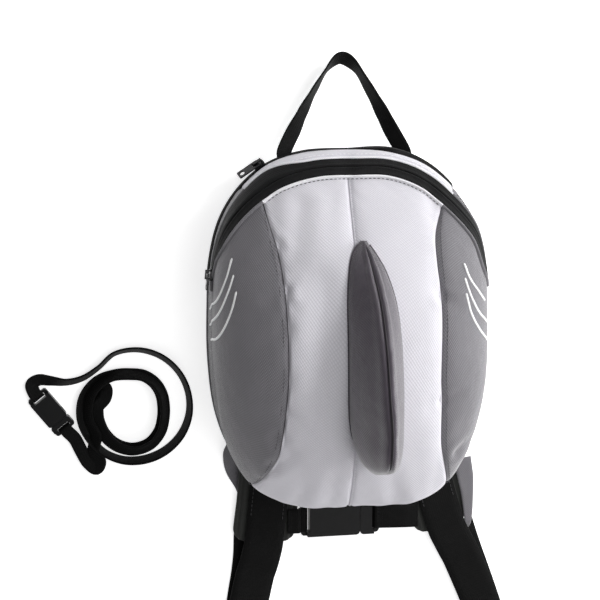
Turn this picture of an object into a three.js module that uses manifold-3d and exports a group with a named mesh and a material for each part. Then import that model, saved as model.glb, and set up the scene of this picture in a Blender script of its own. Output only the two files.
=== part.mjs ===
// A toddler's harness backpack in the shape of a shark, lying on its back beside its coiled rein.
// Millimetres. X runs across the bag, Y from its bottom to its top, Z up out of its front.
// The floor is z = 0.
import * as THREE from "three";
import { mergeVertices } from "three/addons/utils/BufferGeometryUtils.js";
import Module from "manifold-3d";

const wasm = await Module();
wasm.setup();

// Driving sizes
const GAP = 0.3;
const BAG = { width: 206, height: 268, depth: 97, wall: 1.4, squareness: 2.5, footTaper: 0.02 };
const BACK = { thick: 2.4, lip: 1.2 };
const ZIP = { tape: 7, endTape: 1, endTurn: 72, endRamp: 18, wall: 1.2 };
const ZIP_DROOP = { most: 0.11, fromTurn: 8, fullTurn: 50, lastTurn: 140, fade: 45 };
const MAIN_SLIDER = { turn: -66, tip: 0 };
const REAR_SLIDER = { turn: -27, tip: -40 };
const REAR_ZIP = { tape: 4, endTurn: 72, wall: 1.2, sliderPlace: 1.9, sliderClear: 3 };
const FACET_TURN = 3;
const SEAM = { grooveDepth: 1.6, grooveWidth: 6, gap: 0.45, turn: 0.2 };
const FIN = { length: 152, width: 43, rise: 52, sweep: 8, fill: 1.8 };
const PAD = { width: 49, thick: 8, edge: 2.4, length: 284, lift: 2.4, liftFrom: 186, liftOver: 20, wing: 10 };
const WEBBING = { width: 31, thick: 1.5, foldRadius: 2.4, inset: 4, floor: 0.35, shift: 8, past: 2, drop: 26 };
const WEBBING_END = { left: -22, right: 3 };
const TAB = { thick: 1.6, width: 22 };
const HANDLE = { width: 12, thick: 1.4, reach: 74, leftTurn: -18.4, rightTurn: 20.8, place: 1.885, stand: 3 };
const CHEST = { width: 20, thick: 1.5, across: 0.03, up: -0.093 };
const CHEST_BUCKLE = { length: 63, width: 27, thick: 10, wall: 1.8, plug: 16, bar: 3 };
const REIN = { width: 10, thick: 1.4, floor: 0.1 };
const COIL = { inner: 18, outer: 46.8, height: 6.9, edge: 1.2 };
const REIN_BUCKLE = { length: 36, width: 17, thick: 7, wall: 1.3, plug: 9, bar: 2 };
const BUCKLE = { female: 0.74, corner: 1.6, arm: 1.6, window: 0.5, windowBack: 0.62, loop: 0.55, slotRoom: 2 };
const ENTRY = { lead: 1.6, rise: 0.2, bend: 0.4 };
const SLIDER = { length: 9, width: 6.5, thick: 2.4, bridge: 1.1, tunnel: 2.2, post: 1.2, span: 7, bar: 2.2 };
const MAIN_PULL = { length: 12, width: 6.6, thick: 1.2, hole: 3 };
const REAR_PULL = { length: 18, width: 7, thick: 1.2, hole: 4 };

// How finely the cloth is divided
const STEPS = {
  frontColumns: 8,
  frontRows: 24,
  sideColumns: 5,
  wallRows: 2,
  backSkip: 12,
  fin: 20,
  finFlank: 6,
  finBase: 4,
  pad: 14,
  webbing: 44,
  tab: 12,
  handle: 40,
  chest: 16,
  rein: 16,
  coil: 48,
};

// Places that several pieces share
const HALF_WIDTH = BAG.width / 2;
const CENTRE = new THREE.Vector2(0, BAG.height / 2);
const WEBBING_Z = PAD.thick + GAP + WEBBING.thick / 2;
const BACK_Z = PAD.thick + WEBBING.thick + 2 * GAP;
const FOOT_Z = BACK_Z + BACK.thick + GAP;
const WALL_END = 2;
const QUARTER = Math.PI / 2;

// The bag's outline from the bottom centre up its right side: shares of the half width and of the height
const OUTLINE = [
  { across: 0, up: 0 },
  { across: 0.42, up: 0.012 },
  { across: 0.68, up: 0.058 },
  { across: 0.84, up: 0.135 },
  { across: 0.95, up: 0.25 },
  { across: 0.998, up: 0.4 },
  { across: 1, up: 0.55 },
  { across: 0.98, up: 0.69 },
  { across: 0.9, up: 0.81 },
  { across: 0.75, up: 0.9 },
  { across: 0.55, up: 0.962 },
  { across: 0.3, up: 0.994 },
  { across: 0, up: 1 },
];

// The wall below the widest ring and the crown above it, up the bag's height: shares of the depth
const DEPTHS = [
  { up: 0, wall: 0.4, crown: 0.38 },
  { up: 0.2, wall: 0.43, crown: 0.5 },
  { up: 0.5, wall: 0.45, crown: 0.52 },
  { up: 0.75, wall: 0.42, crown: 0.44 },
  { up: 0.9, wall: 0.38, crown: 0.34 },
  { up: 1, wall: 0.36, crown: 0.29 },
];

// Where the zip's line runs: degrees of turn from the top, and the place on the skin
// from 0 at the front's centre to 1 at the widest ring
const ZIP_LINE = [
  { turn: 0, place: 0.715 },
  { turn: 20, place: 0.73 },
  { turn: 34, place: 0.775 },
  { turn: 46, place: 0.86 },
  { turn: 58, place: 0.98 },
  { turn: 72, place: 1.1 },
  { turn: 95, place: 1.15 },
  { turn: 180, place: 1.15 },
];

// The three seams of the front, from low to high: shares of the height and of the half width
const SEAMS = {
  left: {
    bottomTurn: -146,
    topTurn: -34,
    rows: [
      { up: 0.165, across: -0.6 },
      { up: 0.24, across: -0.56 },
      { up: 0.4, across: -0.525 },
      { up: 0.6, across: -0.535 },
      { up: 0.7, across: -0.555 },
      { up: 0.77, across: -0.59 },
    ],
  },
  centre: {
    bottomTurn: -180,
    topTurn: -2,
    rows: [
      { up: 0.18, across: -0.035 },
      { up: 0.5, across: -0.035 },
      { up: 0.8, across: -0.04 },
    ],
  },
  right: {
    bottomTurn: 149,
    topTurn: 34,
    rows: [
      { up: 0.2, across: 0.61 },
      { up: 0.33, across: 0.59 },
      { up: 0.4, across: 0.573 },
      { up: 0.64, across: 0.573 },
      { up: 0.7, across: 0.555 },
      { up: 0.78, across: 0.555 },
    ],
  },
};

// Soft dents and swellings of the stuffed front: shares of the half width, the height and the depth
const DENTS = [
  { across: -0.6, up: 0.7, radius: 0.16, depth: 0.03 },
  { across: -0.56, up: 0.32, radius: 0.14, depth: 0.02 },
  { across: 0.59, up: 0.63, radius: 0.12, depth: 0.024 },
  { across: 0.6, up: 0.31, radius: 0.13, depth: 0.024 },
  { across: 0.8, up: 0.2, radius: 0.16, depth: 0.02 },
  { across: -0.2, up: 0.12, radius: 0.3, depth: -0.02 },
  { across: 0.35, up: 0.5, radius: 0.3, depth: -0.015 },
];

// The fin from its upper end to its lower end: edges, crest and rise as shares of its width and rise
const FIN_PLACE = { top: 0.773, across: 0.055 };
const FIN_ROWS = [
  { along: 0, left: -0.14, right: -0.04, crest: -0.09, rise: 0.05, sweep: 0 },
  { along: 0.06, left: -0.285, right: 0.1, crest: -0.04, rise: 0.15, sweep: 0 },
  { along: 0.14, left: -0.36, right: 0.25, crest: 0, rise: 0.28, sweep: 0 },
  { along: 0.27, left: -0.405, right: 0.39, crest: 0.05, rise: 0.46, sweep: 0 },
  { along: 0.45, left: -0.41, right: 0.47, crest: 0.06, rise: 0.68, sweep: 0.1 },
  { along: 0.65, left: -0.4, right: 0.51, crest: 0.07, rise: 0.87, sweep: 0.35 },
  { along: 0.8, left: -0.335, right: 0.52, crest: 0.1, rise: 0.98, sweep: 0.7 },
  { along: 0.9, left: -0.235, right: 0.48, crest: 0.1, rise: 1, sweep: 0.9 },
  { along: 0.96, left: -0.09, right: 0.4, crest: 0.11, rise: 0.88, sweep: 1 },
  { along: 1, left: 0.06, right: 0.25, crest: 0.15, rise: 0.6, sweep: 1 },
];

// Strap centre lines in plan, down the bag's back and past its bottom: shares of the half width and the height
const STRAP_PATHS = {
  left: [
    { across: -0.25, up: 0.9 },
    { across: -0.38, up: 0.6 },
    { across: -0.47, up: 0.25 },
    { across: -0.53, up: -0.02 },
    { across: -0.565, up: -0.13 },
    { across: -0.585, up: -0.22 },
    { across: -0.64, up: -0.33 },
    { across: -0.68, up: -0.42 },
  ],
  right: [
    { across: 0.25, up: 0.9 },
    { across: 0.42, up: 0.6 },
    { across: 0.6, up: 0.25 },
    { across: 0.76, up: 0 },
    { across: 0.82, up: -0.08 },
    { across: 0.88, up: -0.15 },
    { across: 0.95, up: -0.22 },
    { across: 1.08, up: -0.34 },
    { across: 1.16, up: -0.42 },
  ],
};

// The corner tabs from the bag's lower corners to the webbing's ends: place in plan, height and width
const TAB_PATHS = {
  left: [
    { across: -0.795, up: 0.15, z: 8.6, width: 0.42 },
    { across: -0.825, up: 0.112, z: 4.2, width: 0.42 },
    { across: -0.79, up: 0.066, z: 1.1, width: 0.6 },
    { across: -0.7, up: 0.02, z: 1, width: 0.8 },
    { across: -0.62, up: -0.035, z: 1, width: 0.9 },
  ],
  right: [
    { across: 0.985, up: 0.075, z: 9.3, width: 0.55 },
    { across: 1.025, up: -0.01, z: 9.4, width: 0.5 },
    { across: 1.05, up: -0.085, z: 9.5, width: 0.3 },
    { across: 1.06, up: -0.125, z: 8.2, width: 0.2 },
    { across: 1.06, up: -0.145, z: 3.6, width: 0.12 },
  ],
};

// The handle's line: shares of the span between its ends and of its reach past them, with its twist in degrees
const HANDLE_ROWS = [
  { along: 0.1, out: 0.32, z: 14, twist: 40 },
  { along: 0.26, out: 0.68, z: 11.5, twist: 60 },
  { along: 0.4, out: 0.93, z: 9.5, twist: 72 },
  { along: 0.49, out: 1, z: 9, twist: 40 },
  { along: 0.6, out: 0.92, z: 9.5, twist: 72 },
  { along: 0.75, out: 0.64, z: 11.5, twist: 60 },
  { along: 0.9, out: 0.3, z: 14, twist: 40 },
];
const HANDLE_END_TWIST = 16;

// How far the webbing moves aside below the pad: shares of its whole shift
const WEBBING_SHIFTS = { dropped: 0.4, folding: 0.5, folded: 0.6, end: 1 };

// The rein beside the bag: its coil's middle, its buckle, and the chosen points of its two ends outside the coil
const COIL_MIDDLE = { x: -156.5, y: 72.5 };
const REIN_BUCKLE_PLACE = { x: -220, y: 69.5, turn: -52 };
const REIN_START = [
  [-234, 92, 4.6],
  [-229, 95.5, 4.2],
  [-220, 94.5, 3.2],
  [-208, 93, 2.2],
  [-201.5, 94, 1.8],
];
const REIN_END = [
  [-195.5, 33.5, 4.6],
  [-198, 38, 4.6],
  [-203, 48.5, 4.7],
];

// Small helpers
const mix = (from, to, share) => from + (to - from) * share;
const clamp = (value, low, high) => Math.min(high, Math.max(low, value));
const smooth = (share) => {
  const t = clamp(share, 0, 1);
  return t * t * (3 - 2 * t);
};
const degrees = THREE.MathUtils.degToRad;

// Reads a column of a table at a place, on one smooth curve through its rows.
function readTable(rows, key, column, value) {
  const last = rows.length - 1;
  if (value <= rows[0][key]) return rows[0][column];
  if (value >= rows[last][key]) return rows[last][column];
  const i = rows.findIndex((row, n) => n < last && value <= rows[n + 1][key]);
  const slope = (n) => {
    const before = rows[Math.max(0, n - 1)];
    const after = rows[Math.min(last, n + 1)];
    return (after[column] - before[column]) / (after[key] - before[key]);
  };
  const span = rows[i + 1][key] - rows[i][key];
  const t = (value - rows[i][key]) / span;
  const rise = rows[i + 1][column] - rows[i][column];
  const bend = slope(i) * span * (1 - t) - slope(i + 1) * span * t;
  return rows[i][column] + rise * smooth(t) + bend * t * (1 - t);
}

// A closed solid from points and triangles, turned so that its faces point out.
function solidGeometry(points, faces) {
  let volume = 0;
  for (const [a, b, c] of faces) volume += points[a].dot(points[b].clone().cross(points[c]));
  const index = faces.flatMap(([a, b, c]) => (volume < 0 ? [a, c, b] : [a, b, c]));
  const geometry = new THREE.BufferGeometry().setFromPoints(points);
  geometry.setIndex(index);
  geometry.computeVertexNormals();
  return geometry;
}

// A loft through rings of equally many points, closed by a fan at each end.
function loft(rings) {
  const points = rings.flat();
  const size = rings[0].length;
  const faces = [];
  for (let r = 0; r < rings.length - 1; r++) {
    for (let i = 0; i < size; i++) {
      const a = r * size + i;
      const b = r * size + ((i + 1) % size);
      faces.push([a, b, b + size], [a, b + size, a + size]);
    }
  }
  for (const [ring, flip] of [[0, true], [rings.length - 1, false]]) {
    const middle = new THREE.Vector3();
    rings[ring].forEach((p) => middle.addScaledVector(p, 1 / size));
    points.push(middle);
    for (let i = 0; i < size; i++) {
      const a = ring * size + i;
      const b = ring * size + ((i + 1) % size);
      faces.push(flip ? [b, a, points.length - 1] : [a, b, points.length - 1]);
    }
  }
  return solidGeometry(points, faces);
}

// Joins points that coincide and drops the faces that this closes up.
function tidySolid(points, faces) {
  const seen = new Map();
  const kept = [];
  const renamed = points.map((p) => {
    const key = p.toArray().map((value) => value.toFixed(4)).join(" ");
    if (!seen.has(key)) {
      seen.set(key, kept.length);
      kept.push(p);
    }
    return seen.get(key);
  });
  const open = faces.map((face) => face.map((i) => renamed[i]));
  return solidGeometry(kept, open.filter(([a, b, c]) => a !== b && b !== c && c !== a));
}

// A panel of the skin with a wall inwards: placeAt gives the turn and the place for u and v from 0 to 1.
function panel(placeAt, columns, rows, wall) {
  const points = [];
  const inner = [];
  const faces = [];
  for (let j = 0; j <= rows; j++)
    for (let i = 0; i <= columns; i++) {
      const { turn, place } = placeAt(i / columns, j / rows);
      const p = skin(turn, place);
      points.push(p);
      inner.push(p.clone().addScaledVector(skinNormal(turn, place), -wall));
    }
  const count = points.length;
  const at = (i, j) => j * (columns + 1) + i;
  const quad = (a, b, c, d) => faces.push([a, b, c], [a, c, d]);
  for (let j = 0; j < rows; j++)
    for (let i = 0; i < columns; i++) {
      quad(at(i, j), at(i + 1, j), at(i + 1, j + 1), at(i, j + 1));
      quad(count + at(i, j), count + at(i, j + 1), count + at(i + 1, j + 1), count + at(i + 1, j));
    }
  for (let i = 0; i < columns; i++) {
    quad(at(i + 1, 0), at(i, 0), count + at(i, 0), count + at(i + 1, 0));
    quad(at(i, rows), at(i + 1, rows), count + at(i + 1, rows), count + at(i, rows));
  }
  for (let j = 0; j < rows; j++) {
    quad(at(0, j), at(0, j + 1), count + at(0, j + 1), count + at(0, j));
    quad(at(columns, j + 1), at(columns, j), count + at(columns, j), count + at(columns, j + 1));
  }
  return tidySolid([...points, ...inner], faces);
}

// A flat band swept along a curve: sideAt gives the direction of its width.
function band(curve, steps, width, thick, sideAt) {
  const rings = [];
  for (let i = 0; i <= steps; i++) {
    const t = i / steps;
    const tangent = curve.getTangent(t);
    const side = sideAt(t, tangent);
    const flat = new THREE.Vector3().crossVectors(side, tangent).normalize();
    const here = curve.getPoint(t);
    const half = (typeof width === "function" ? width(t) : width) / 2;
    const corner = (across, up) =>
      here.clone().addScaledVector(side, across * half).addScaledVector(flat, (up * thick) / 2);
    rings.push([corner(-1, -1), corner(1, -1), corner(1, 1), corner(-1, 1)]);
  }
  return loft(rings);
}

const UP = new THREE.Vector3(0, 0, 1);
const spline = (points) => new THREE.CatmullRomCurve3(points, false, "centripetal");

// Manifold solids, for cuts and joins
function toSolid(geometry) {
  const bare = geometry.clone();
  bare.deleteAttribute("normal");
  bare.deleteAttribute("uv");
  const merged = mergeVertices(bare);
  return new wasm.Manifold(
    new wasm.Mesh({
      numProp: 3,
      vertProperties: new Float32Array(merged.attributes.position.array),
      triVerts: new Uint32Array(merged.index.array),
    }),
  );
}

function fromSolid(solid) {
  const mesh = solid.getMesh();
  const geometry = new THREE.BufferGeometry();
  geometry.setAttribute("position", new THREE.BufferAttribute(mesh.vertProperties, 3));
  geometry.setIndex(new THREE.BufferAttribute(mesh.triVerts, 1));
  geometry.computeVertexNormals();
  return geometry;
}

// A plate with rounded corners, centred on the origin, that may have an outline of its own
function plate(width, height, thick, corner) {
  const shape = new THREE.Shape();
  const x = width / 2;
  const y = height / 2;
  shape.moveTo(-x + corner, -y);
  shape.lineTo(x - corner, -y);
  shape.absarc(x - corner, -y + corner, corner, -QUARTER, 0);
  shape.lineTo(x, y - corner);
  shape.absarc(x - corner, y - corner, corner, 0, QUARTER);
  shape.lineTo(-x + corner, y);
  shape.absarc(-x + corner, y - corner, corner, QUARTER, 2 * QUARTER);
  shape.lineTo(-x, -y + corner);
  shape.absarc(-x + corner, -y + corner, corner, 2 * QUARTER, 3 * QUARTER);
  const geometry = new THREE.ExtrudeGeometry(shape, { depth: thick, bevelEnabled: false, curveSegments: 3 });
  return geometry.translate(0, 0, -thick / 2);
}

const box = (width, height, thick) => new THREE.BoxGeometry(width, height, thick);

// The bag's skin
const RIM = makeRim();

// The radius of the outline round the bag's centre, looked up by direction.
function makeRim() {
  const toPoint = (row, side) =>
    new THREE.Vector3(side * row.across * HALF_WIDTH, row.up * BAG.height, 0);
  const right = OUTLINE.map((row) => toPoint(row, 1));
  const left = OUTLINE.slice(1, -1).reverse().map((row) => toPoint(row, -1));
  const curve = new THREE.CatmullRomCurve3([...right, ...left], true, "centripetal");
  const samples = curve.getSpacedPoints(720).slice(0, -1).map((p) => {
    const turn = Math.atan2(p.x - CENTRE.x, p.y - CENTRE.y);
    return { turn, radius: Math.hypot(p.x - CENTRE.x, p.y - CENTRE.y) };
  });
  return samples.sort((a, b) => a.turn - b.turn);
}

// Turns are clockwise from the bag's top, in degrees.
function rimRadius(turn) {
  const wanted = Math.atan2(Math.sin(degrees(turn)), Math.cos(degrees(turn)));
  let low = 0;
  let high = RIM.length - 1;
  if (wanted <= RIM[0].turn || wanted >= RIM[high].turn) return RIM[0].radius;
  while (high - low > 1) {
    const middle = (low + high) >> 1;
    if (RIM[middle].turn > wanted) high = middle;
    else low = middle;
  }
  const share = (wanted - RIM[low].turn) / (RIM[high].turn - RIM[low].turn);
  return mix(RIM[low].radius, RIM[high].radius, share);
}

const seamAcross = (seam, up) => readTable(seam.rows, "up", "across", up) * HALF_WIDTH;

// How far the stuffed front is pulled in at a place in plan: seams and dents.
function reliefAt(x, y) {
  const up = y / BAG.height;
  let pulled = 0;
  for (const seam of Object.values(SEAMS)) {
    const away = (x - seamAcross(seam, up)) / SEAM.grooveWidth;
    pulled = Math.max(pulled, SEAM.grooveDepth * Math.exp(-away * away));
  }
  for (const dent of DENTS) {
    const far = Math.hypot(x - dent.across * HALF_WIDTH, y - dent.up * BAG.height);
    const share = far / (dent.radius * HALF_WIDTH);
    pulled += dent.depth * BAG.depth * Math.exp(-share * share);
  }
  return pulled;
}

// A point of the skin: place runs from 0 at the front centre over 1 at the widest ring to 2 at the wall's foot.
function skin(turn, place) {
  const dome = clamp(place, 0, 1) * QUARTER;
  const wall = Math.max(place - 1, 0);
  const power = 2 / BAG.squareness;
  const share = Math.pow(Math.sin(dome), power) * (1 - BAG.footTaper * wall * wall);
  const lift = Math.pow(Math.max(Math.cos(dome), 0), power);
  const radius = rimRadius(turn) * share;
  const x = CENTRE.x + radius * Math.sin(degrees(turn));
  const y = CENTRE.y + radius * Math.cos(degrees(turn));
  const up = y / BAG.height;
  const wallHeight = readTable(DEPTHS, "up", "wall", up) * BAG.depth;
  const crown = readTable(DEPTHS, "up", "crown", up) * BAG.depth;
  const pulled = place < 1 ? reliefAt(x, y) * lift : 0;
  return new THREE.Vector3(x, y, FOOT_Z + wallHeight * (1 - wall) + crown * lift - pulled);
}

// The direction out of the skin at a place.
function skinNormal(turn, place) {
  const step = 1e-3;
  const across = skin(turn + step, place).sub(skin(turn - step, place));
  const outwards = skin(turn, place + step).sub(skin(turn, Math.max(place - step, 0)));
  return across.cross(outwards).normalize();
}

// The skin laid out flat, so that panels can be drawn on it.
const layOut = (turn, place) =>
  new THREE.Vector2(Math.sin(degrees(turn)), Math.cos(degrees(turn))).multiplyScalar(place * rimRadius(turn));

function placeOf(flat) {
  const turn = THREE.MathUtils.radToDeg(Math.atan2(flat.x, flat.y));
  return { turn, place: flat.length() / rimRadius(turn) };
}

// The laid-out place of a point that is given in plan.
function layOutPlan(x, y) {
  const turn = THREE.MathUtils.radToDeg(Math.atan2(x - CENTRE.x, y - CENTRE.y));
  const share = Math.min(1, Math.hypot(x - CENTRE.x, y - CENTRE.y) / rimRadius(turn));
  return layOut(turn, Math.asin(Math.pow(share, BAG.squareness / 2)) / QUARTER);
}

function surfaceZ(x, y) {
  const { turn, place } = placeOf(layOutPlan(x, y));
  return skin(turn, place).z;
}

// The place on the skin that lies a length further out than another, along the skin.
function placeBeyond(turn, place, length) {
  const step = 0.002 * Math.sign(length);
  let walked = 0;
  let at = place;
  let here = skin(turn, at);
  while (walked < Math.abs(length)) {
    const next = skin(turn, at + step);
    walked += next.distanceTo(here);
    here = next;
    at += step;
  }
  return at;
}

const signed = (turn) => ((((turn + 180) % 360) + 360) % 360) - 180;
const unsigned = (turn) => Math.abs(signed(turn));

// The zip's line, which runs nearer to the front at the right side than at the left
function zipLine(turn) {
  const { most, fromTurn, fullTurn, lastTurn, fade } = ZIP_DROOP;
  const rising = smooth((signed(turn) - fromTurn) / (fullTurn - fromTurn));
  const falling = smooth((lastTurn - signed(turn)) / fade);
  return readTable(ZIP_LINE, "turn", "place", unsigned(turn)) - most * rising * falling;
}

// How wide half the zip's band is at a turn: full over the arch, narrow at its ends, nothing past them.
function tapeWidth(turn) {
  const left = ZIP.endTurn - unsigned(turn);
  return left < -FACET_TURN / 2 ? 0 : mix(ZIP.endTape, ZIP.tape, smooth(left / ZIP.endRamp));
}

const frontEdge = (turn) => placeBeyond(turn, zipLine(turn), -tapeWidth(turn) - SEAM.gap);
const gussetEdge = (turn) => placeBeyond(turn, zipLine(turn), tapeWidth(turn) + SEAM.gap);

const wallHeightAt = (turn) => readTable(DEPTHS, "up", "wall", skin(turn, 1).y / BAG.height) * BAG.depth;

// The gusset stops short of the rear zip and reaches the foot past its ends.
function footEdge(turn) {
  const past = unsigned(turn) - REAR_ZIP.endTurn;
  const room = past > FACET_TURN ? 0 : REAR_ZIP.tape + SEAM.gap;
  return WALL_END - room / wallHeightAt(turn);
}

// Panels of the front, drawn between four edges on the laid-out skin
function patch(bottom, top, left, right) {
  return (u, v) => {
    const rows = bottom(u).multiplyScalar(1 - v).add(top(u).multiplyScalar(v));
    const columns = left(v).multiplyScalar(1 - u).add(right(v).multiplyScalar(u));
    const corners = bottom(0)
      .multiplyScalar((1 - u) * (1 - v))
      .add(bottom(1).multiplyScalar(u * (1 - v)))
      .add(top(0).multiplyScalar((1 - u) * v))
      .add(top(1).multiplyScalar(u * v));
    return placeOf(rows.add(columns).sub(corners));
  };
}

const edgeArc = (fromTurn, toTurn) => (share) => {
  const turn = mix(fromTurn, toTurn, share);
  return layOut(turn, frontEdge(turn));
};

// A seam on the laid-out skin, moved aside by half the gap between the two panels it joins.
function seamCurve(seam, aside, bottomTurn, topTurn) {
  const rows = seam.rows.map((row) => layOutPlan(row.across * HALF_WIDTH, row.up * BAG.height));
  const ends = [layOut(bottomTurn, frontEdge(bottomTurn)), layOut(topTurn, frontEdge(topTurn))];
  const moved = rows.map((p) => p.add(new THREE.Vector2(aside, 0)));
  const points = [ends[0], ...moved, ends[1]].map((p) => new THREE.Vector3(p.x, p.y, 0));
  const curve = spline(points);
  return (share) => {
    const p = curve.getPointAt(clamp(share, 0, 1));
    return new THREE.Vector2(p.x, p.y);
  };
}

const CLOTH = {
  light: { color: 0xc8c6cd, roughness: 0.8, metalness: 0 },
  dark: { color: 0x6e6c70, roughness: 0.8, metalness: 0 },
  fin: { color: 0x5f5869, roughness: 0.75, metalness: 0 },
  black: { color: 0x141416, roughness: 0.7, metalness: 0 },
  pad: { color: 0x2d2d30, roughness: 0.85, metalness: 0 },
  plastic: { color: 0x101012, roughness: 0.35, metalness: 0 },
  metal: { color: 0x1a1a1c, roughness: 0.4, metalness: 0.6 },
};

const pieces = new THREE.Group();

function addPiece(name, geometry, look, parent = pieces) {
  const mesh = new THREE.Mesh(geometry, new THREE.MeshStandardMaterial(look));
  mesh.name = name;
  parent.add(mesh);
  return mesh;
}

function addFrontPanels() {
  const { left, centre, right } = SEAMS;
  const { frontColumns: columns, frontRows: rows } = STEPS;
  const leftHalf = patch(
    edgeArc(left.bottomTurn - SEAM.turn, centre.bottomTurn + SEAM.turn),
    edgeArc(left.topTurn + SEAM.turn, centre.topTurn - SEAM.turn),
    seamCurve(left, GAP, left.bottomTurn - SEAM.turn, left.topTurn + SEAM.turn),
    seamCurve(centre, -GAP, centre.bottomTurn + SEAM.turn, centre.topTurn - SEAM.turn),
  );
  const rightHalf = patch(
    edgeArc(-centre.bottomTurn - SEAM.turn, right.bottomTurn + SEAM.turn),
    edgeArc(centre.topTurn + SEAM.turn, right.topTurn - SEAM.turn),
    seamCurve(centre, GAP, -centre.bottomTurn - SEAM.turn, centre.topTurn + SEAM.turn),
    seamCurve(right, -GAP, right.bottomTurn + SEAM.turn, right.topTurn - SEAM.turn),
  );
  addPiece("front_panel_left", panel(leftHalf, columns, rows, BAG.wall), CLOTH.light);
  addPiece("front_panel_right", panel(rightHalf, columns, rows, BAG.wall), CLOTH.light);
}

// A side panel runs to a point at each end, where its seam meets the edge of the front.
function addSidePanel(name, seam, side) {
  const bottomTurn = seam.bottomTurn - SEAM.turn * side;
  const topTurn = seam.topTurn + SEAM.turn * side;
  const inner = seamCurve(seam, GAP * side, bottomTurn, topTurn);
  const outer = edgeArc(bottomTurn, topTurn);
  const rows = Math.round(Math.abs(bottomTurn - topTurn) / FACET_TURN);
  const shape = patch(() => inner(0), () => inner(1), inner, outer);
  addPiece(name, panel(shape, STEPS.sideColumns, rows, BAG.wall), CLOTH.dark);
}

// A strip of the skin between two edges, from one turn to another.
function strip(fromTurn, toTurn, innerEdge, outerEdge) {
  return (u, v) => {
    const turn = mix(fromTurn, toTurn, u);
    return { turn, place: mix(innerEdge(turn), outerEdge(turn), v) };
  };
}

const columnsBetween = (from, to) => Math.round((to - from) / FACET_TURN);

function addZip() {
  const end = ZIP.endTurn;
  const beside = (turn, length) => placeBeyond(turn, zipLine(turn), length);
  const front = strip(-end, end, (turn) => beside(turn, -tapeWidth(turn)), (turn) => beside(turn, -GAP / 2));
  const rear = strip(-end, end, (turn) => beside(turn, GAP / 2), (turn) => beside(turn, tapeWidth(turn)));
  addPiece("zip_tape_front", panel(front, columnsBetween(-end, end), 1, ZIP.wall), CLOTH.black);
  addPiece("zip_tape_rear", panel(rear, columnsBetween(-end, end), 1, ZIP.wall), CLOTH.black);
}

const GUSSETS = [
  { name: "gusset_top", from: -36, to: 36, look: "light" },
  { name: "gusset_right", from: 36, to: 141, look: "dark" },
  { name: "gusset_bottom", from: 141, to: 219, look: "light" },
  { name: "gusset_left", from: 219, to: 324, look: "dark" },
];

function addGussets() {
  for (const { name, from, to, look } of GUSSETS) {
    const wall = strip(from + SEAM.turn, to - SEAM.turn, gussetEdge, footEdge);
    addPiece(name, panel(wall, columnsBetween(from, to), STEPS.wallRows, BAG.wall), CLOTH[look]);
  }
}

// The rear zip shows only as a line between the gusset and the back.
function addRearZip() {
  const end = REAR_ZIP.endTurn;
  const inner = (turn) => WALL_END - REAR_ZIP.tape / wallHeightAt(turn);
  const shape = strip(-end, end, inner, () => WALL_END);
  addPiece("rear_zip", panel(shape, columnsBetween(-end, end), 1, REAR_ZIP.wall), CLOTH.black);
}

function addBackPanel() {
  const share = 1 - BAG.footTaper;
  const shape = new THREE.Shape(
    RIM.filter((sample, i) => i % STEPS.backSkip === 0).map(({ turn, radius }) => {
      const reach = radius * share + BACK.lip;
      return new THREE.Vector2(CENTRE.x + reach * Math.sin(turn), CENTRE.y + reach * Math.cos(turn));
    }),
  );
  const geometry = new THREE.ExtrudeGeometry(shape, { depth: BACK.thick, bevelEnabled: false });
  addPiece("back_panel", geometry.translate(0, 0, BACK_Z), CLOTH.dark);
}

// The fin: each ring runs over the flanks and back under the base, which lies on the front.
function finRing(along) {
  const read = (column) => readTable(FIN_ROWS, "along", column, along);
  const middle = FIN_PLACE.across * HALF_WIDTH;
  const y = FIN_PLACE.top * BAG.height - along * FIN.length;
  const left = middle + read("left") * FIN.width;
  const right = middle + read("right") * FIN.width;
  const crest = middle + read("crest") * FIN.width;
  const rise = read("rise") * FIN.rise;
  const sweep = read("sweep") * FIN.sweep;
  const seat = (x) => surfaceZ(x, y) + 2 * GAP;
  const { finFlank: flankSteps, finBase: baseSteps } = STEPS;
  const ring = [];
  const flank = (edge, share) => {
    const x = mix(crest, edge, 1 - Math.pow(share, FIN.fill));
    return new THREE.Vector3(x, y - sweep * share, mix(seat(edge), seat(crest) + rise, share));
  };
  for (let i = 0; i <= flankSteps; i++) ring.push(flank(left, i / flankSteps));
  for (let i = flankSteps - 1; i >= 0; i--) ring.push(flank(right, i / flankSteps));
  for (let i = 1; i < baseSteps; i++) {
    const x = mix(right, left, i / baseSteps);
    ring.push(new THREE.Vector3(x, y, seat(x)));
  }
  return ring;
}

function addFin() {
  const rings = [];
  for (let i = 0; i <= STEPS.fin; i++) rings.push(finRing(i / STEPS.fin));
  addPiece("dorsal_fin", loft(rings), CLOTH.fin);
}

// Straps, seen in plan as curves down the back
const planPoint = (row, z) => new THREE.Vector3(row.across * HALF_WIDTH, row.up * BAG.height, z);
const strapCurve = (side) => spline(STRAP_PATHS[side].map((row) => planPoint(row, 0)));

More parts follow.
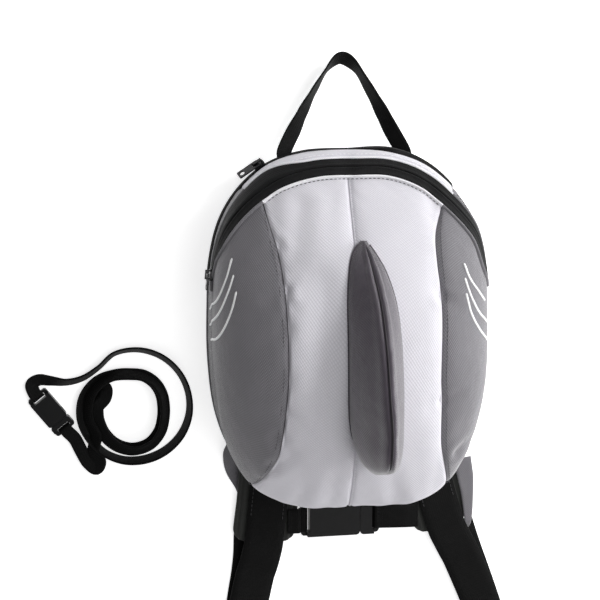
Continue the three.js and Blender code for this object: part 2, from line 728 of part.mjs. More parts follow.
function addPad(side) {
  const curve = strapCurve(side);
  const length = curve.getLength();
  const corner = PAD.edge * 4;
  const stops = [];
  for (let i = 0; i <= STEPS.pad; i++) stops.push({ at: (i / STEPS.pad) * (PAD.length - corner), narrow: 0 });
  for (const turn of [30, 60, 90]) {
    const angle = degrees(turn);
    stops.push({
      at: PAD.length - corner + corner * Math.sin(angle),
      narrow: corner * (1 - Math.cos(angle)),
    });
  }
  const rings = stops.map(({ at, narrow }) => {
    const here = curve.getPointAt(at / length);
    const tangent = curve.getTangentAt(at / length);
    const aside = new THREE.Vector3().crossVectors(tangent, UP).normalize();
    const half = PAD.width / 2 - narrow;
    const raised = side === "left" ? PAD.lift * smooth((at - PAD.liftFrom) / PAD.liftOver) : 0;
    const corners = [
      [half - PAD.edge, raised],
      [half, raised + PAD.edge / 2],
      [half, PAD.thick - PAD.edge],
      [half - PAD.edge, PAD.thick],
    ];
    const both = [...corners, ...corners.map(([x, z]) => [-x, z]).reverse()];
    return both.map(([x, z]) => here.clone().addScaledVector(aside, x).setZ(z));
  });
  addPiece(`shoulder_pad_${side}`, loft(rings), CLOTH.pad);
}

// One webbing runs down the pad, folds back past its end and returns along the floor to the corner tab.
function addShoulderWebbing(side) {
  const curve = strapCurve(side);
  const length = curve.getLength();
  const { dropped, folding, folded, end } = WEBBING_SHIFTS;
  const low = WEBBING.thick / 2 + WEBBING.floor;
  const high = low + 2 * WEBBING.foldRadius;
  const flat = PAD.length + WEBBING.past;
  const foldAt = length - WEBBING.foldRadius;
  const runIn = 3 * WEBBING.foldRadius;
  const outward = Math.sign(STRAP_PATHS[side][0].across);
  const points = [];
  const lay = (count, atOf, zOf, shiftOf) => {
    for (let i = 1; i <= count; i++) {
      const at = atOf(i / count);
      const sidewise = new THREE.Vector3().crossVectors(curve.getTangentAt(at / length), UP).normalize();
      const shift = shiftOf(i / count) * WEBBING.shift * outward * Math.sign(sidewise.x);
      points.push(curve.getPointAt(at / length).addScaledVector(sidewise, shift).setZ(zOf(i / count)));
    }
  };
  const fold = (share) => share * 2 * QUARTER;
  lay(1, () => WEBBING.inset, () => WEBBING_Z, () => 0);
  lay(10, (t) => mix(WEBBING.inset, flat, t), () => WEBBING_Z, () => 0);
  lay(4, (t) => flat + WEBBING.drop * t, (t) => mix(WEBBING_Z, high, smooth(t)), (t) => dropped * t);
  lay(1, () => foldAt - runIn, () => high, () => folding);
  lay(1, () => foldAt, () => high, () => folding);
  lay(
    6,
    (t) => foldAt + WEBBING.foldRadius * Math.sin(fold(t)),
    (t) => low + WEBBING.foldRadius * (1 + Math.cos(fold(t))),
    (t) => mix(folding, folded, t),
  );
  lay(5, (t) => mix(foldAt - runIn, PAD.length + WEBBING_END[side], t), () => low, (t) => mix(folded, end, t));
  const path = spline(points);
  const geometry = foldedBand(path, STEPS.webbing, WEBBING.width, WEBBING.thick);
  addPiece(`shoulder_webbing_${side}`, geometry, CLOTH.black);
}

// A band that keeps its sides level while it climbs and folds over.
function foldedBand(curve, steps, width, thick) {
  const levelEnough = 0.9;
  let last = null;
  return band(curve, steps, width, thick, (share, tangent) => {
    const level = new THREE.Vector3().crossVectors(tangent, UP);
    const steep = level.length() < levelEnough;
    if (last && level.dot(last) < 0) level.negate();
    if (last && steep) level.copy(last);
    last = level.normalize().clone();
    return level;
  });
}

function addCornerTab(side) {
  const rows = TAB_PATHS[side];
  const path = spline(rows.map((row) => planPoint(row, row.z)));
  const width = (share) => {
    const at = share * (rows.length - 1);
    const i = Math.min(Math.floor(at), rows.length - 2);
    return TAB.width * mix(rows[i].width, rows[i + 1].width, at - i);
  };
  addPiece(`corner_tab_${side}`, foldedBand(path, STEPS.tab, width, TAB.thick), CLOTH.dark);
}

// The handle stands out square from the wall at each end and twists on edge between.
function addHandle() {
  const foot = (turn) => ({ at: skin(turn, HANDLE.place), normal: skinNormal(turn, HANDLE.place) });
  const ends = [foot(HANDLE.leftTurn), foot(HANDLE.rightTurn)];
  const raised = ({ at, normal }, away) => ({
    point: at.clone().addScaledVector(normal, away),
    twist: HANDLE_END_TWIST,
  });
  const middle = HANDLE_ROWS.map((row) => {
    const p = ends[0].at.clone().lerp(ends[1].at, row.along);
    return { point: new THREE.Vector3(p.x, p.y + row.out * HANDLE.reach, row.z), twist: row.twist };
  });
  const lifts = [2 * GAP, HANDLE.stand];
  const rows = [
    ...lifts.map((away) => raised(ends[0], away)),
    ...middle,
    ...lifts.reverse().map((away) => raised(ends[1], away)),
  ];
  const path = spline(rows.map((row) => row.point));
  const geometry = band(path, STEPS.handle, HANDLE.width, HANDLE.thick, (share, tangent) => {
    const at = share * (rows.length - 1);
    const i = Math.min(Math.floor(at), rows.length - 2);
    const twist = mix(rows[i].twist, rows[i + 1].twist, smooth(at - i));
    const face = UP.clone().applyAxisAngle(tangent, degrees(twist));
    return face.cross(tangent).negate().normalize();
  });
  addPiece("handle", geometry, CLOTH.black);
}

// A side-release buckle along X with its two halves clipped together, centred on the origin
function buckleHalves(size) {
  const { length, width, thick, wall, plug, bar } = size;
  const slot = size.strapThick + BUCKLE.slotRoom;
  const strap = size.strap + 2 * GAP;
  const femaleLength = length * BUCKLE.female;
  const joint = -length / 2 + femaleLength;
  const corner = wall * BUCKLE.corner;
  const solid = (geometry, x, y = 0, z = 0) => toSolid(geometry.translate(x, y, z));
  const slotAt = (x) => solid(box(slot, strap, thick * 2), x);
  const loopEnd = 2 * bar + slot;
  const trimAt = (x) => solid(box(loopEnd, width * 2, thick), x, 0, thick * BUCKLE.loop);
  const mouth = width - 2 * wall;
  const mouthThick = thick - 2 * wall;
  const window = plug * BUCKLE.window;
  const windowAt = joint - plug * BUCKLE.windowBack;
  const female = solid(plate(femaleLength, width, thick, corner), -length / 2 + femaleLength / 2)
    .subtract(slotAt(-length / 2 + bar + slot / 2))
    .subtract(trimAt(-length / 2))
    .subtract(solid(box(plug * 2, mouth, mouthThick), joint))
    .subtract(solid(box(window, width * 2, mouthThick), windowAt));
  const maleStart = joint + GAP;
  const maleLength = length / 2 - maleStart;
  const arm = mouthThick - 2 * GAP;
  const armWidth = wall * BUCKLE.arm;
  const armLength = plug - 2 * GAP + wall;
  const armAt = maleStart + (wall - plug) / 2 + GAP;
  let male = solid(plate(maleLength, width, thick, corner), maleStart + maleLength / 2)
    .subtract(slotAt(length / 2 - bar - slot / 2))
    .subtract(trimAt(length / 2))
    .add(solid(box(armLength, armWidth, arm), armAt));
  for (const side of [-1, 1]) {
    const tabY = side * (width / 2 - armWidth / 2 - GAP);
    male = male
      .add(solid(box(armLength, armWidth, arm), armAt, side * (mouth / 2 - GAP - armWidth / 2)))
      .add(solid(box(window - 4 * GAP, armWidth, arm), windowAt, tabY));
  }
  return { female: fromSolid(female), male: fromSolid(male) };
}

function addBuckle(name, size, parent, place, turn) {
  const holder = new THREE.Group();
  holder.position.copy(place);
  holder.rotation.z = degrees(turn);
  parent.add(holder);
  const { female, male } = buckleHalves(size);
  addPiece(`${name}_female`, female, CLOTH.plastic, holder);
  addPiece(`${name}_male`, male, CLOTH.plastic, holder);
}

// How a strap enters a buckle's loop, from outside it: over the end bar and down into the slot.
function loopEntry(size, place, turn, end) {
  const slot = size.strapThick + BUCKLE.slotRoom;
  const barTop = place.z + size.thick * (BUCKLE.loop - 0.5);
  const over = barTop + GAP + size.strapThick / 2;
  const axis = new THREE.Vector2(Math.cos(degrees(turn)), Math.sin(degrees(turn))).multiplyScalar(end);
  const steps = [
    { beyond: ENTRY.lead, z: over + ENTRY.rise },
    { beyond: 0, z: over + ENTRY.rise / 2 },
    { beyond: -size.bar, z: over },
    { beyond: -size.bar - slot * ENTRY.bend, z: over - slot * ENTRY.bend },
    { beyond: -size.bar - slot / 2, z: barTop - size.strapThick },
  ];
  return steps.map(({ beyond, z }) => {
    const reach = size.length / 2 + beyond;
    return new THREE.Vector3(place.x + axis.x * reach, place.y + axis.y * reach, z);
  });
}

// The chest strap runs from the webbing on each pad to the loops of its buckle.
function addChestStrap() {
  const y = CHEST.up * BAG.height;
  const centre = new THREE.Vector3(CHEST.across * HALF_WIDTH, y, CHEST_BUCKLE.thick / 2 + GAP);
  const size = { ...CHEST_BUCKLE, strap: CHEST.width, strapThick: CHEST.thick };
  addBuckle("chest_buckle", size, pieces, centre, 0);
  for (const side of ["left", "right"]) {
    const sign = side === "left" ? -1 : 1;
    const webbing = webbingAt(side, y);
    const onPad = [2 * GAP, 4, PAD.wing].map(
      (away) => new THREE.Vector3(webbing.x - sign * (webbing.half + away), y, WEBBING_Z),
    );
    const path = spline([...onPad, ...loopEntry(size, centre, 0, sign)]);
    addPiece(`chest_strap_${side}`, foldedBand(path, STEPS.chest, CHEST.width, CHEST.thick), CLOTH.black);
  }
}

// Where the shoulder webbing crosses a height, and how far it reaches to the side over the chest strap's width.
function webbingAt(side, y) {
  const curve = strapCurve(side);
  let share = 0;
  while (share < 1 && curve.getPointAt(share).y > y) share += 0.002;
  const tangent = curve.getTangentAt(share);
  const lean = Math.abs(tangent.x / tangent.y);
  const half = (WEBBING.width / 2) * Math.hypot(1, lean) + (CHEST.width / 2) * lean;
  return { x: curve.getPointAt(share).x, half };
}

// A slider sits on a zip with its pull hinged under its bridge: X along the zip, Z away from the cloth.
function sliderBody() {
  const { length, width, thick, bridge, tunnel, post, span } = SLIDER;
  const solid = (geometry, x, z) => toSolid(geometry.translate(x, 0, z));
  const top = thick + tunnel + bridge / 2;
  let body = solid(plate(length, width, thick, width * 0.3), 0, thick / 2);
  body = body.add(solid(box(span, SLIDER.bar, bridge), 0, top));
  for (const side of [-1, 1]) {
    const height = tunnel + bridge;
    const x = side * (span / 2 - post / 2);
    body = body.add(solid(box(post, SLIDER.bar, height), x, thick + height / 2 - 0.01));
  }
  return fromSolid(body);
}

// A pull: a plate that starts at the hinge pin and has a window round the bridge.
function pullBody(pull) {
  const { length, width, thick, hole } = pull;
  const pin = thick / 2;
  const window = SLIDER.span / 2 + pin + GAP * 2;
  const inside = SLIDER.bar + 4 * GAP;
  const outline = plate(length, width, thick, thick).translate(length / 2 - pin, 0, 0);
  let body = toSolid(outline);
  body = body.subtract(toSolid(box(window - pin, inside, thick * 2).translate((window + pin) / 2, 0, 0)));
  const eye = new THREE.CylinderGeometry(hole / 2, hole / 2, thick * 2, 12).rotateX(QUARTER);
  const eyeAt = length - pin - width / 2;
  body = body.subtract(toSolid(eye.translate(eyeAt, 0, 0)));
  return fromSolid(body);
}

// A frame on a zip's line: X along it, Z out of the cloth, tipped towards the front if asked.
function frameOn(turn, place, tip, clear) {
  const origin = skin(turn, place);
  const normal = skinNormal(turn, place);
  const along = skin(turn - 1, place).sub(origin).normalize();
  normal.applyAxisAngle(along, degrees(tip)).normalize();
  const across = new THREE.Vector3().crossVectors(normal, along).normalize();
  const straight = new THREE.Vector3().crossVectors(across, normal);
  const holder = new THREE.Group();
  holder.applyMatrix4(new THREE.Matrix4().makeBasis(straight, across, normal));
  holder.position.copy(origin).addScaledVector(normal, clear);
  return holder;
}

function addSlider(name, pull, turn, place, tip, clear) {
  const holder = frameOn(turn, place, tip, clear);
  pieces.add(holder);
  addPiece(`${name}_slider`, sliderBody(), CLOTH.metal, holder);
  const hinge = new THREE.Group();
  hinge.position.z = SLIDER.thick + SLIDER.tunnel / 2;
  holder.add(hinge);
  addPiece(`${name}_pull`, pullBody(pull), CLOTH.metal, hinge);
}

// The rein: the coil's outer shape, and the two ends of the webbing that run from it to the buckle's halves
function addRein(parent) {
  const size = { ...REIN_BUCKLE, strap: REIN.width, strapThick: REIN.thick };
  const { x, y, turn } = REIN_BUCKLE_PLACE;
  const place = new THREE.Vector3(x, y, REIN_BUCKLE.thick / 2 + REIN.floor);
  addBuckle("rein_buckle", size, parent, place, turn);
  const lead = (name, points) => {
    const geometry = foldedBand(spline(points), STEPS.rein, REIN.width, REIN.thick);
    addPiece(name, geometry, CLOTH.black, parent);
  };
  const chosen = (rows) => rows.map((row) => new THREE.Vector3(...row));
  lead("rein_start", [...loopEntry(size, place, turn, -1).reverse(), ...chosen(REIN_START)]);
  lead("rein_end", [...chosen(REIN_END), ...loopEntry(size, place, turn, 1)]);
  const { inner, outer, height, edge } = COIL;
  const profile = [
    [inner, REIN.floor],
    [outer - edge, REIN.floor],
    [outer, REIN.floor + edge],
    [outer, height - edge],
    [outer - edge, height],
    [inner + edge, height],
    [inner, height - edge],
    [inner, REIN.floor],
  ].map(([radius, z]) => new THREE.Vector2(radius, z));
  const coil = addPiece("rein_coil", new THREE.LatheGeometry(profile, STEPS.coil), CLOTH.black, parent);
  coil.rotation.x = QUARTER;
  coil.position.set(COIL_MIDDLE.x, COIL_MIDDLE.y, 0);
}

addFrontPanels();
addSidePanel("side_panel_left", SEAMS.left, -1);
addSidePanel("side_panel_right", SEAMS.right, 1);
addZip();
addGussets();
addRearZip();
addBackPanel();
addFin();
addSlider("main", MAIN_PULL, MAIN_SLIDER.turn, zipLine(MAIN_SLIDER.turn), MAIN_SLIDER.tip, GAP);
addSlider("rear", REAR_PULL, REAR_SLIDER.turn, REAR_ZIP.sliderPlace, REAR_SLIDER.tip, REAR_ZIP.sliderClear);
addHandle();
for (const side of ["left", "right"]) {
  addPad(side);
  addShoulderWebbing(side);
  addCornerTab(side);
}
addChestStrap();

// The bag stands with the middle of its box over the origin, and the rein lies beside it.
const whole = new THREE.Group();
const middle = new THREE.Box3().setFromObject(pieces).getCenter(new THREE.Vector3());
const rein = new THREE.Group();
addRein(rein);
whole.add(pieces, rein);
whole.position.set(-middle.x, -middle.y, 0);

export default whole;
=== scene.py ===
"""The looks of a toddler's shark-shaped harness backpack, lying on its back beside its coiled rein."""

import math

import bpy
import numpy as np
from mathutils import Matrix, Vector


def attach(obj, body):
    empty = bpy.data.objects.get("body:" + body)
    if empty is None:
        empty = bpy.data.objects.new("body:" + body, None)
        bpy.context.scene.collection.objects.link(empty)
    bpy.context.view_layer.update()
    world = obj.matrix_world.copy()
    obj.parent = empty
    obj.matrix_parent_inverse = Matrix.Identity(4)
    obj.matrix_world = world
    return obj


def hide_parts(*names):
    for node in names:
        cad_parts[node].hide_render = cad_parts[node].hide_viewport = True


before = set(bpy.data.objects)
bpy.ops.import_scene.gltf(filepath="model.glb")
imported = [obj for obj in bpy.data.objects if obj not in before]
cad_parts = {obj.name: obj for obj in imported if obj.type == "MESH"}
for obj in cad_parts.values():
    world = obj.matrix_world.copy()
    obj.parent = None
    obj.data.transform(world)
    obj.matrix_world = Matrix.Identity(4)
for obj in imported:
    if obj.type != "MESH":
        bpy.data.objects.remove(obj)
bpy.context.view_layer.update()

# Sizes in millimetres, in the bag's own frame: X across, Y from its bottom to its top, Z out of its front
BAG_ORIGIN = (-15.158, -110.234, 0.0)
MILLIMETRE = 0.001
GAP = 0.3
BAG = {"width": 206, "height": 268, "depth": 97, "squareness": 2.5, "foot_taper": 0.02}
BACK = {"thick": 2.4, "lip": 1.2}
ZIP = {"tape": 7, "end_tape": 1, "end_turn": 72, "end_ramp": 18, "right_ramp": 8, "end_over": 3}
ZIP_DROOP = {"most": 0.11, "shown": (8, 42, 140, 45), "low": 0.06, "low_shown": (48, 16, 140, 45)}
REAR_ZIP = {"tape": 4, "end_turn": 72}
SEAM = {"groove_depth": 1.6, "groove_width": 6, "gap": 0.45, "turn": 0.2}
FIN = {"length": 152, "width": 43, "rise": 52, "sweep": 8, "fill": 1.8, "top": 0.773, "across": 0.055}
PAD = {
    "width": 49, "thick": 8, "edge": 2.4, "length": 284, "lift": 2.4, "lift_from": 186, "lift_over": 20,
    "wing": 10,
}
WEBBING = {
    "width": 31, "thick": 1.5, "fold": 2.4, "inset": 4, "floor": 0.35, "shift": 8, "past": 2, "drop": 26,
}
WEBBING_END = {"left": -22, "right": 3}
WEBBING_SHIFTS = {"dropped": 0.4, "folding": 0.5, "folded": 0.6, "end": 1.0}
TAB = {"thick": 1.6, "width": 22}
HANDLE = {
    "width": 12, "thick": 1.4, "reach": 74, "left": -18.4, "right": 20.8, "place": 1.885, "stand": 3,
    "twist": 16,
}
CHEST = {"width": 20, "thick": 1.5, "across": 0.03, "up": -0.093}
CHEST_BUCKLE = {"length": 63, "thick": 10, "bar": 3}
REIN = {"width": 10, "thick": 1.4, "floor": 0.1, "layer": 1.85, "on_edge": 0.92}
REIN_BUCKLE = {"length": 36, "thick": 7, "bar": 2, "x": -220, "y": 69.5, "turn": -52}
LOOP_SHARE = 0.55
ENTRY = {"lead": 1.6, "rise": 0.2, "bend": 0.4, "slot_room": 2}

HALF_WIDTH = BAG["width"] / 2
CENTRE_Y = BAG["height"] / 2
WEBBING_Z = PAD["thick"] + GAP + WEBBING["thick"] / 2
BACK_Z = PAD["thick"] + WEBBING["thick"] + 2 * GAP
FOOT_Z = BACK_Z + BACK["thick"] + GAP
WALL_END = 2.0
UP = np.array((0.0, 0.0, 1.0))
BODY = "bag"
UV_LAYER = "cloth"
# How many points each line has
POINTS = {
    "zip": 217, "rear_zip": 181, "line": 70, "line_top": 9, "stitches": 90, "webbing": 340, "tab": 70,
    "handle": 240, "chest": 90, "rein": 900, "strap": 501, "least_lip": 20,
}

# Shares of the half width and of the height, from the bottom centre up the right side
OUTLINE = [
    (0, 0), (0.42, 0.012), (0.68, 0.058), (0.84, 0.135), (0.95, 0.25), (0.998, 0.4), (1, 0.55),
    (0.98, 0.69), (0.9, 0.81), (0.75, 0.9), (0.55, 0.962), (0.3, 0.994), (0, 1),
]
# Share of the height, then the wall's and the crown's shares of the depth
DEPTHS = [
    (0, 0.4, 0.38), (0.2, 0.43, 0.5), (0.5, 0.45, 0.52), (0.75, 0.42, 0.44), (0.9, 0.38, 0.34),
    (1, 0.36, 0.29),
]
# Degrees from the top, then the zip line's place on the skin: 0 at the front's centre and 1 at the rim
ZIP_LINE = [(0, 0.715), (20, 0.73), (34, 0.775), (46, 0.86), (58, 0.98), (72, 1.1), (95, 1.15), (180, 1.15)]
# Each seam's ends in degrees from the top, and its rows: shares of the height and of the half width
SEAMS = {
    "left": {
        "bottom": -146, "top": -34,
        "rows": [(0.165, -0.6), (0.24, -0.56), (0.4, -0.525), (0.6, -0.535), (0.7, -0.555), (0.77, -0.59)],
    },
    "centre": {"bottom": -180, "top": -2, "rows": [(0.18, -0.035), (0.5, -0.035), (0.8, -0.04)]},
    "right": {
        "bottom": 149, "top": 34,
        "rows": [(0.2, 0.61), (0.33, 0.59), (0.4, 0.573), (0.64, 0.573), (0.7, 0.555), (0.78, 0.555)],
    },
}
# Soft dents: shares of the half width and the height, radius as a share of the half width, depth of the depth
DENTS = [
    (-0.6, 0.7, 0.16, 0.03), (-0.56, 0.32, 0.14, 0.02), (0.59, 0.63, 0.12, 0.024), (0.6, 0.31, 0.13, 0.024),
    (0.8, 0.2, 0.16, 0.02), (-0.2, 0.12, 0.3, -0.02), (0.35, 0.5, 0.3, -0.015),
]
# Along the fin from its top: left, right, crest, rise and sweep, as shares of its width, rise and sweep
FIN_ROWS = [
    (0, -0.14, -0.04, -0.09, 0.05, 0), (0.06, -0.285, 0.1, -0.04, 0.15, 0), (0.14, -0.36, 0.25, 0, 0.28, 0),
    (0.27, -0.405, 0.39, 0.05, 0.46, 0), (0.45, -0.41, 0.47, 0.06, 0.68, 0.1),
    (0.65, -0.4, 0.51, 0.07, 0.87, 0.35), (0.8, -0.38, 0.52, 0.1, 0.98, 0.7), (0.9, -0.33, 0.5, 0.1, 1, 0.86),
    (0.96, -0.25, 0.44, 0.11, 0.9, 0.95), (1, -0.1, 0.32, 0.14, 0.6, 0.9),
]
STRAP_PATHS = {
    "left": [
        (-0.25, 0.9), (-0.38, 0.6), (-0.47, 0.25), (-0.53, -0.02), (-0.565, -0.13), (-0.585, -0.22),
        (-0.64, -0.33), (-0.68, -0.42),
    ],
    "right": [
        (0.25, 0.9), (0.42, 0.6), (0.6, 0.25), (0.76, 0), (0.82, -0.08), (0.88, -0.15), (0.95, -0.22),
        (1.08, -0.34), (1.16, -0.42),
    ],
}
# Shares of the half width and the height, then the height above the floor and the share of the tab's width
TAB_PATHS = {
    "left": [
        (-0.795, 0.15, 8.6, 0.42), (-0.825, 0.112, 4.2, 0.42), (-0.79, 0.066, 1.1, 0.6),
        (-0.7, 0.02, 1, 0.8), (-0.62, -0.035, 1, 0.9),
    ],
    "right": [
        (0.985, 0.075, 9.3, 0.62), (1.02, -0.01, 9.4, 0.6), (1.035, -0.085, 9.5, 0.44),
        (1.04, -0.125, 8.2, 0.32), (1.045, -0.145, 3.6, 0.14),
    ],
}
# Along the handle's span, out of it, height above the floor and twist in degrees
HANDLE_ROWS = [
    (0.1, 0.32, 14, 40), (0.26, 0.68, 11.5, 60), (0.4, 0.93, 9.5, 72), (0.49, 1, 9, 40),
    (0.6, 0.92, 9.5, 72), (0.75, 0.64, 11.5, 60), (0.9, 0.3, 14, 40),
]

# The rein's chosen points, and each lane's reach from the coil's middle to the right, top, left and bottom
COIL_MIDDLE = (-158, 71)
COIL_LANES = {"outer": (43, 45, 40, 42), "second": (33, 38, 35, 37), "inner": (23, 26, 28, 33)}
WINDING = {"turns": (108, -545), "change": (-170, -265), "layers": (0, 1), "lanes": ("outer", "inner")}
UNWINDING = {"turns": (178, 575), "change": (440, 545), "layers": (3, 2), "lanes": ("inner", "second")}
COIL_STEP = 24
REIN_START = [
    (-234, 92, 4.6), (-229, 95.5, 4.2), (-220, 94.5, 3.2), (-208, 93, 2.2), (-196, 95.5, 1.4),
    (-184, 103, 0.9),
]
REIN_LOOP = [(-187.5, 82, 3.6), (-184, 88, 4.4), (-179, 87, 5.2), (-179.5, 80, 5.9)]
REIN_END = [
    (-189, 38, 4.6), (-184.5, 30, 4.6), (-187, 24.5, 4.6), (-193, 29, 4.6), (-198, 38, 4.6),
    (-203, 48.5, 4.7),
]

# The camera: over the bag, a little to its left and its top
CAMERA = {"lean": 10, "distance": 1150, "aim": (-38.3, 159.8, 58), "lens": 94, "sensor": 36, "near": 0.05}


# Small helpers
def mix(a, b, share):
    return a + (b - a) * share


def smooth(share):
    t = np.clip(share, 0, 1)
    return t * t * (3 - 2 * t)


def unit(vectors):
    return vectors / np.maximum(np.linalg.norm(vectors, axis=-1, keepdims=True), 1e-9)


def directions(points):
    return unit(np.gradient(points, axis=0))


def heading(turn):
    """The sine and the cosine of degrees."""
    return np.sin(np.radians(turn)), np.cos(np.radians(turn))


def window(value, start, over, last, fade):
    """A share that rises smoothly from a start and falls again towards a last value."""
    return smooth((value - start) / over) * smooth((last - value) / fade)


def read_table(rows, column, values):
    """A column of a table at some places, on one smooth curve through its rows."""
    keys = np.array([row[0] for row in rows], float)
    column = np.array([row[column] for row in rows], float)
    values = np.asarray(values, float)
    inside = np.clip(values, keys[0], keys[-1])
    i = np.clip(np.searchsorted(keys, inside) - 1, 0, len(keys) - 2)
    before = np.maximum(np.arange(len(keys)) - 1, 0)
    after = np.minimum(np.arange(len(keys)) + 1, len(keys) - 1)
    slopes = (column[after] - column[before]) / (keys[after] - keys[before])
    span = keys[i + 1] - keys[i]
    t = (inside - keys[i]) / span
    bend = slopes[i] * span * (1 - t) - slopes[i + 1] * span * t
    return column[i] + (column[i + 1] - column[i]) * smooth(t) + bend * t * (1 - t)


SPLINE_STEPS = 40


class Spline:
    """A centripetal Catmull-Rom curve through points."""

    def __init__(self, points, closed=False):
        p = np.asarray(points, float)
        if closed:
            self.ring = np.vstack([p[-1:], p, p[:2]])
            self.pieces = len(p)
        else:
            self.ring = np.vstack([2 * p[0] - p[1], p, 2 * p[-1] - p[-2]])
            self.pieces = len(p) - 1

    def at(self, share):
        place = np.clip(np.asarray(share, float), 0, 1) * self.pieces
        i = np.minimum(place.astype(int), self.pieces - 1)
        t = (place - i)[..., None]
        p0, p1, p2, p3 = (self.ring[i + k] for k in range(4))
        steps = (p1 - p0, p2 - p1, p3 - p2)
        d0, d1, d2 = (np.maximum(np.linalg.norm(step, axis=-1, keepdims=True), 1e-6) ** 0.5 for step in steps)
        m1 = ((p1 - p0) / d0 - (p2 - p0) / (d0 + d1) + (p2 - p1) / d1) * d1
        m2 = ((p2 - p1) / d1 - (p3 - p1) / (d1 + d2) + (p3 - p2) / d2) * d1
        return p1 + m1 * t + (3 * (p2 - p1) - 2 * m1 - m2) * t**2 + (2 * (p1 - p2) + m1 + m2) * t**3

    def even(self, share):
        """Points at equal shares of the curve's length."""
        dense = np.linspace(0, 1, self.pieces * SPLINE_STEPS + 1)
        walked = lengths_along(self.at(dense))
        return self.at(np.interp(np.asarray(share) * walked[-1], walked, dense))

    def length(self):
        return lengths_along(self.at(np.linspace(0, 1, self.pieces * SPLINE_STEPS + 1)))[-1]


def lengths_along(points):
    steps = np.linalg.norm(np.diff(points, axis=0), axis=-1)
    return np.concatenate([[0], np.cumsum(steps)])


# A ripple's waves: how their directions fan out, how their pitches grow, and how they are shifted
RIPPLE = {"waves": 5, "first": 1.3, "fan": 2.4, "least": 0.75, "growth": 0.17, "shift": 5.1}


def ripple(x, y, pitch, seed):
    """A smooth, repeatable unevenness between -1 and 1."""
    total = 0
    for k in range(RIPPLE["waves"]):
        angle = RIPPLE["first"] * seed + RIPPLE["fan"] * k
        wave = 2 * math.pi / (pitch * (RIPPLE["least"] + RIPPLE["growth"] * k))
        shift = RIPPLE["shift"] * k + seed
        total = total + np.sin(wave * (x * math.cos(angle) + y * math.sin(angle)) + shift)
    return total / RIPPLE["waves"]


# The bag's skin, as the solids have it
def signed(turn):
    return (np.asarray(turn, float) + 180) % 360 - 180


def unsigned(turn):
    return np.abs(signed(turn))


RIM_POINTS = 1440


def make_rim():
    right = [(a * HALF_WIDTH, u * BAG["height"]) for a, u in OUTLINE]
    left = [(-x, y) for x, y in right[-2:0:-1]]
    points = Spline(right + left, closed=True).at(np.linspace(0, 1, RIM_POINTS + 1)[:-1])
    turn = np.degrees(np.arctan2(points[:, 0], points[:, 1] - CENTRE_Y))
    radius = np.hypot(points[:, 0], points[:, 1] - CENTRE_Y)
    order = np.argsort(turn)
    return turn[order], radius[order]


RIM = make_rim()


def rim_radius(turn):
    return np.interp(signed(turn), *RIM, period=360)


def relief(x, y):
    """How far seams and dents pull the front in."""
    up = y / BAG["height"]
    pulled = np.zeros_like(x)
    for seam in SEAMS.values():
        away = (x - read_table(seam["rows"], 1, up) * HALF_WIDTH) / SEAM["groove_width"]
        pulled = np.maximum(pulled, SEAM["groove_depth"] * np.exp(-away * away))
    for across, high, radius, depth in DENTS:
        far = np.hypot(x - across * HALF_WIDTH, y - high * BAG["height"]) / (radius * HALF_WIDTH)
        pulled = pulled + depth * BAG["depth"] * np.exp(-far * far)
    return pulled


# Where the stuffing fills the cloth out: degrees from the top and their spread, and millimetres outwards
BULGES = [(154, 13, 4.6), (-120, 20, -1.2)]
# The places on the skin where it does so: from, over, last and fade
BULGE_PLACES = (0.5, 0.4, WALL_END, 0.85)


def bulge(turn, place):
    """How far the stuffing pushes the bag's edge outwards."""
    pushed = np.zeros_like(place)
    for middle, spread, out in BULGES:
        away = signed(turn - middle) / spread
        pushed = pushed + out * np.exp(-away * away)
    return pushed * window(place, *BULGE_PLACES)


def skin(turn, place):
    """Points of the skin: place runs from 0 at the front's centre over 1 at the rim to 2 at the foot."""
    turn, place = np.broadcast_arrays(np.asarray(turn, float), np.asarray(place, float))
    dome = np.clip(place, 0, 1) * math.pi / 2
    wall = np.maximum(place - 1, 0)
    power = 2 / BAG["squareness"]
    share = np.sin(dome) ** power * (1 - BAG["foot_taper"] * wall * wall)
    lift = np.maximum(np.cos(dome), 0) ** power
    radius = rim_radius(turn) * share + bulge(turn, place)
    sine, cosine = heading(turn)
    x = radius * sine
    y = CENTRE_Y + radius * cosine
    up = y / BAG["height"]
    wall_height = read_table(DEPTHS, 1, up) * BAG["depth"]
    crown = read_table(DEPTHS, 2, up) * BAG["depth"]
    pulled = np.where(place < 1, relief(x, y) * lift, 0)
    return np.stack([x, y, FOOT_Z + wall_height * (1 - wall) + crown * lift - pulled], axis=-1)


SKIN_STEP = 2e-3


def on_skin(turn, place):
    """Points of the skin and its directions outwards."""
    step = SKIN_STEP
    place = np.asarray(place, float)
    across = skin(turn + step, place) - skin(turn - step, place)
    outwards = skin(turn, place + step) - skin(turn, np.maximum(place - step, 0))
    return skin(turn, place), unit(np.cross(across, outwards))


def lay_out(turn, place):
    return np.stack(heading(turn), axis=-1) * (place * rim_radius(turn))[..., None]


def place_of(flat):
    turn = np.degrees(np.arctan2(flat[..., 0], flat[..., 1]))
    return turn, np.linalg.norm(flat, axis=-1) / rim_radius(turn)


def lay_out_plan(x, y):
    turn = np.degrees(np.arctan2(x, y - CENTRE_Y))
    share = np.minimum(1, np.hypot(x, y - CENTRE_Y) / rim_radius(turn))
    return lay_out(turn, np.arcsin(share ** (BAG["squareness"] / 2)) * 2 / math.pi)


def surface_z(x, y):
    return skin(*place_of(lay_out_plan(x, y)))[..., 2]


PLACES = np.linspace(0.2, WALL_END, 721)


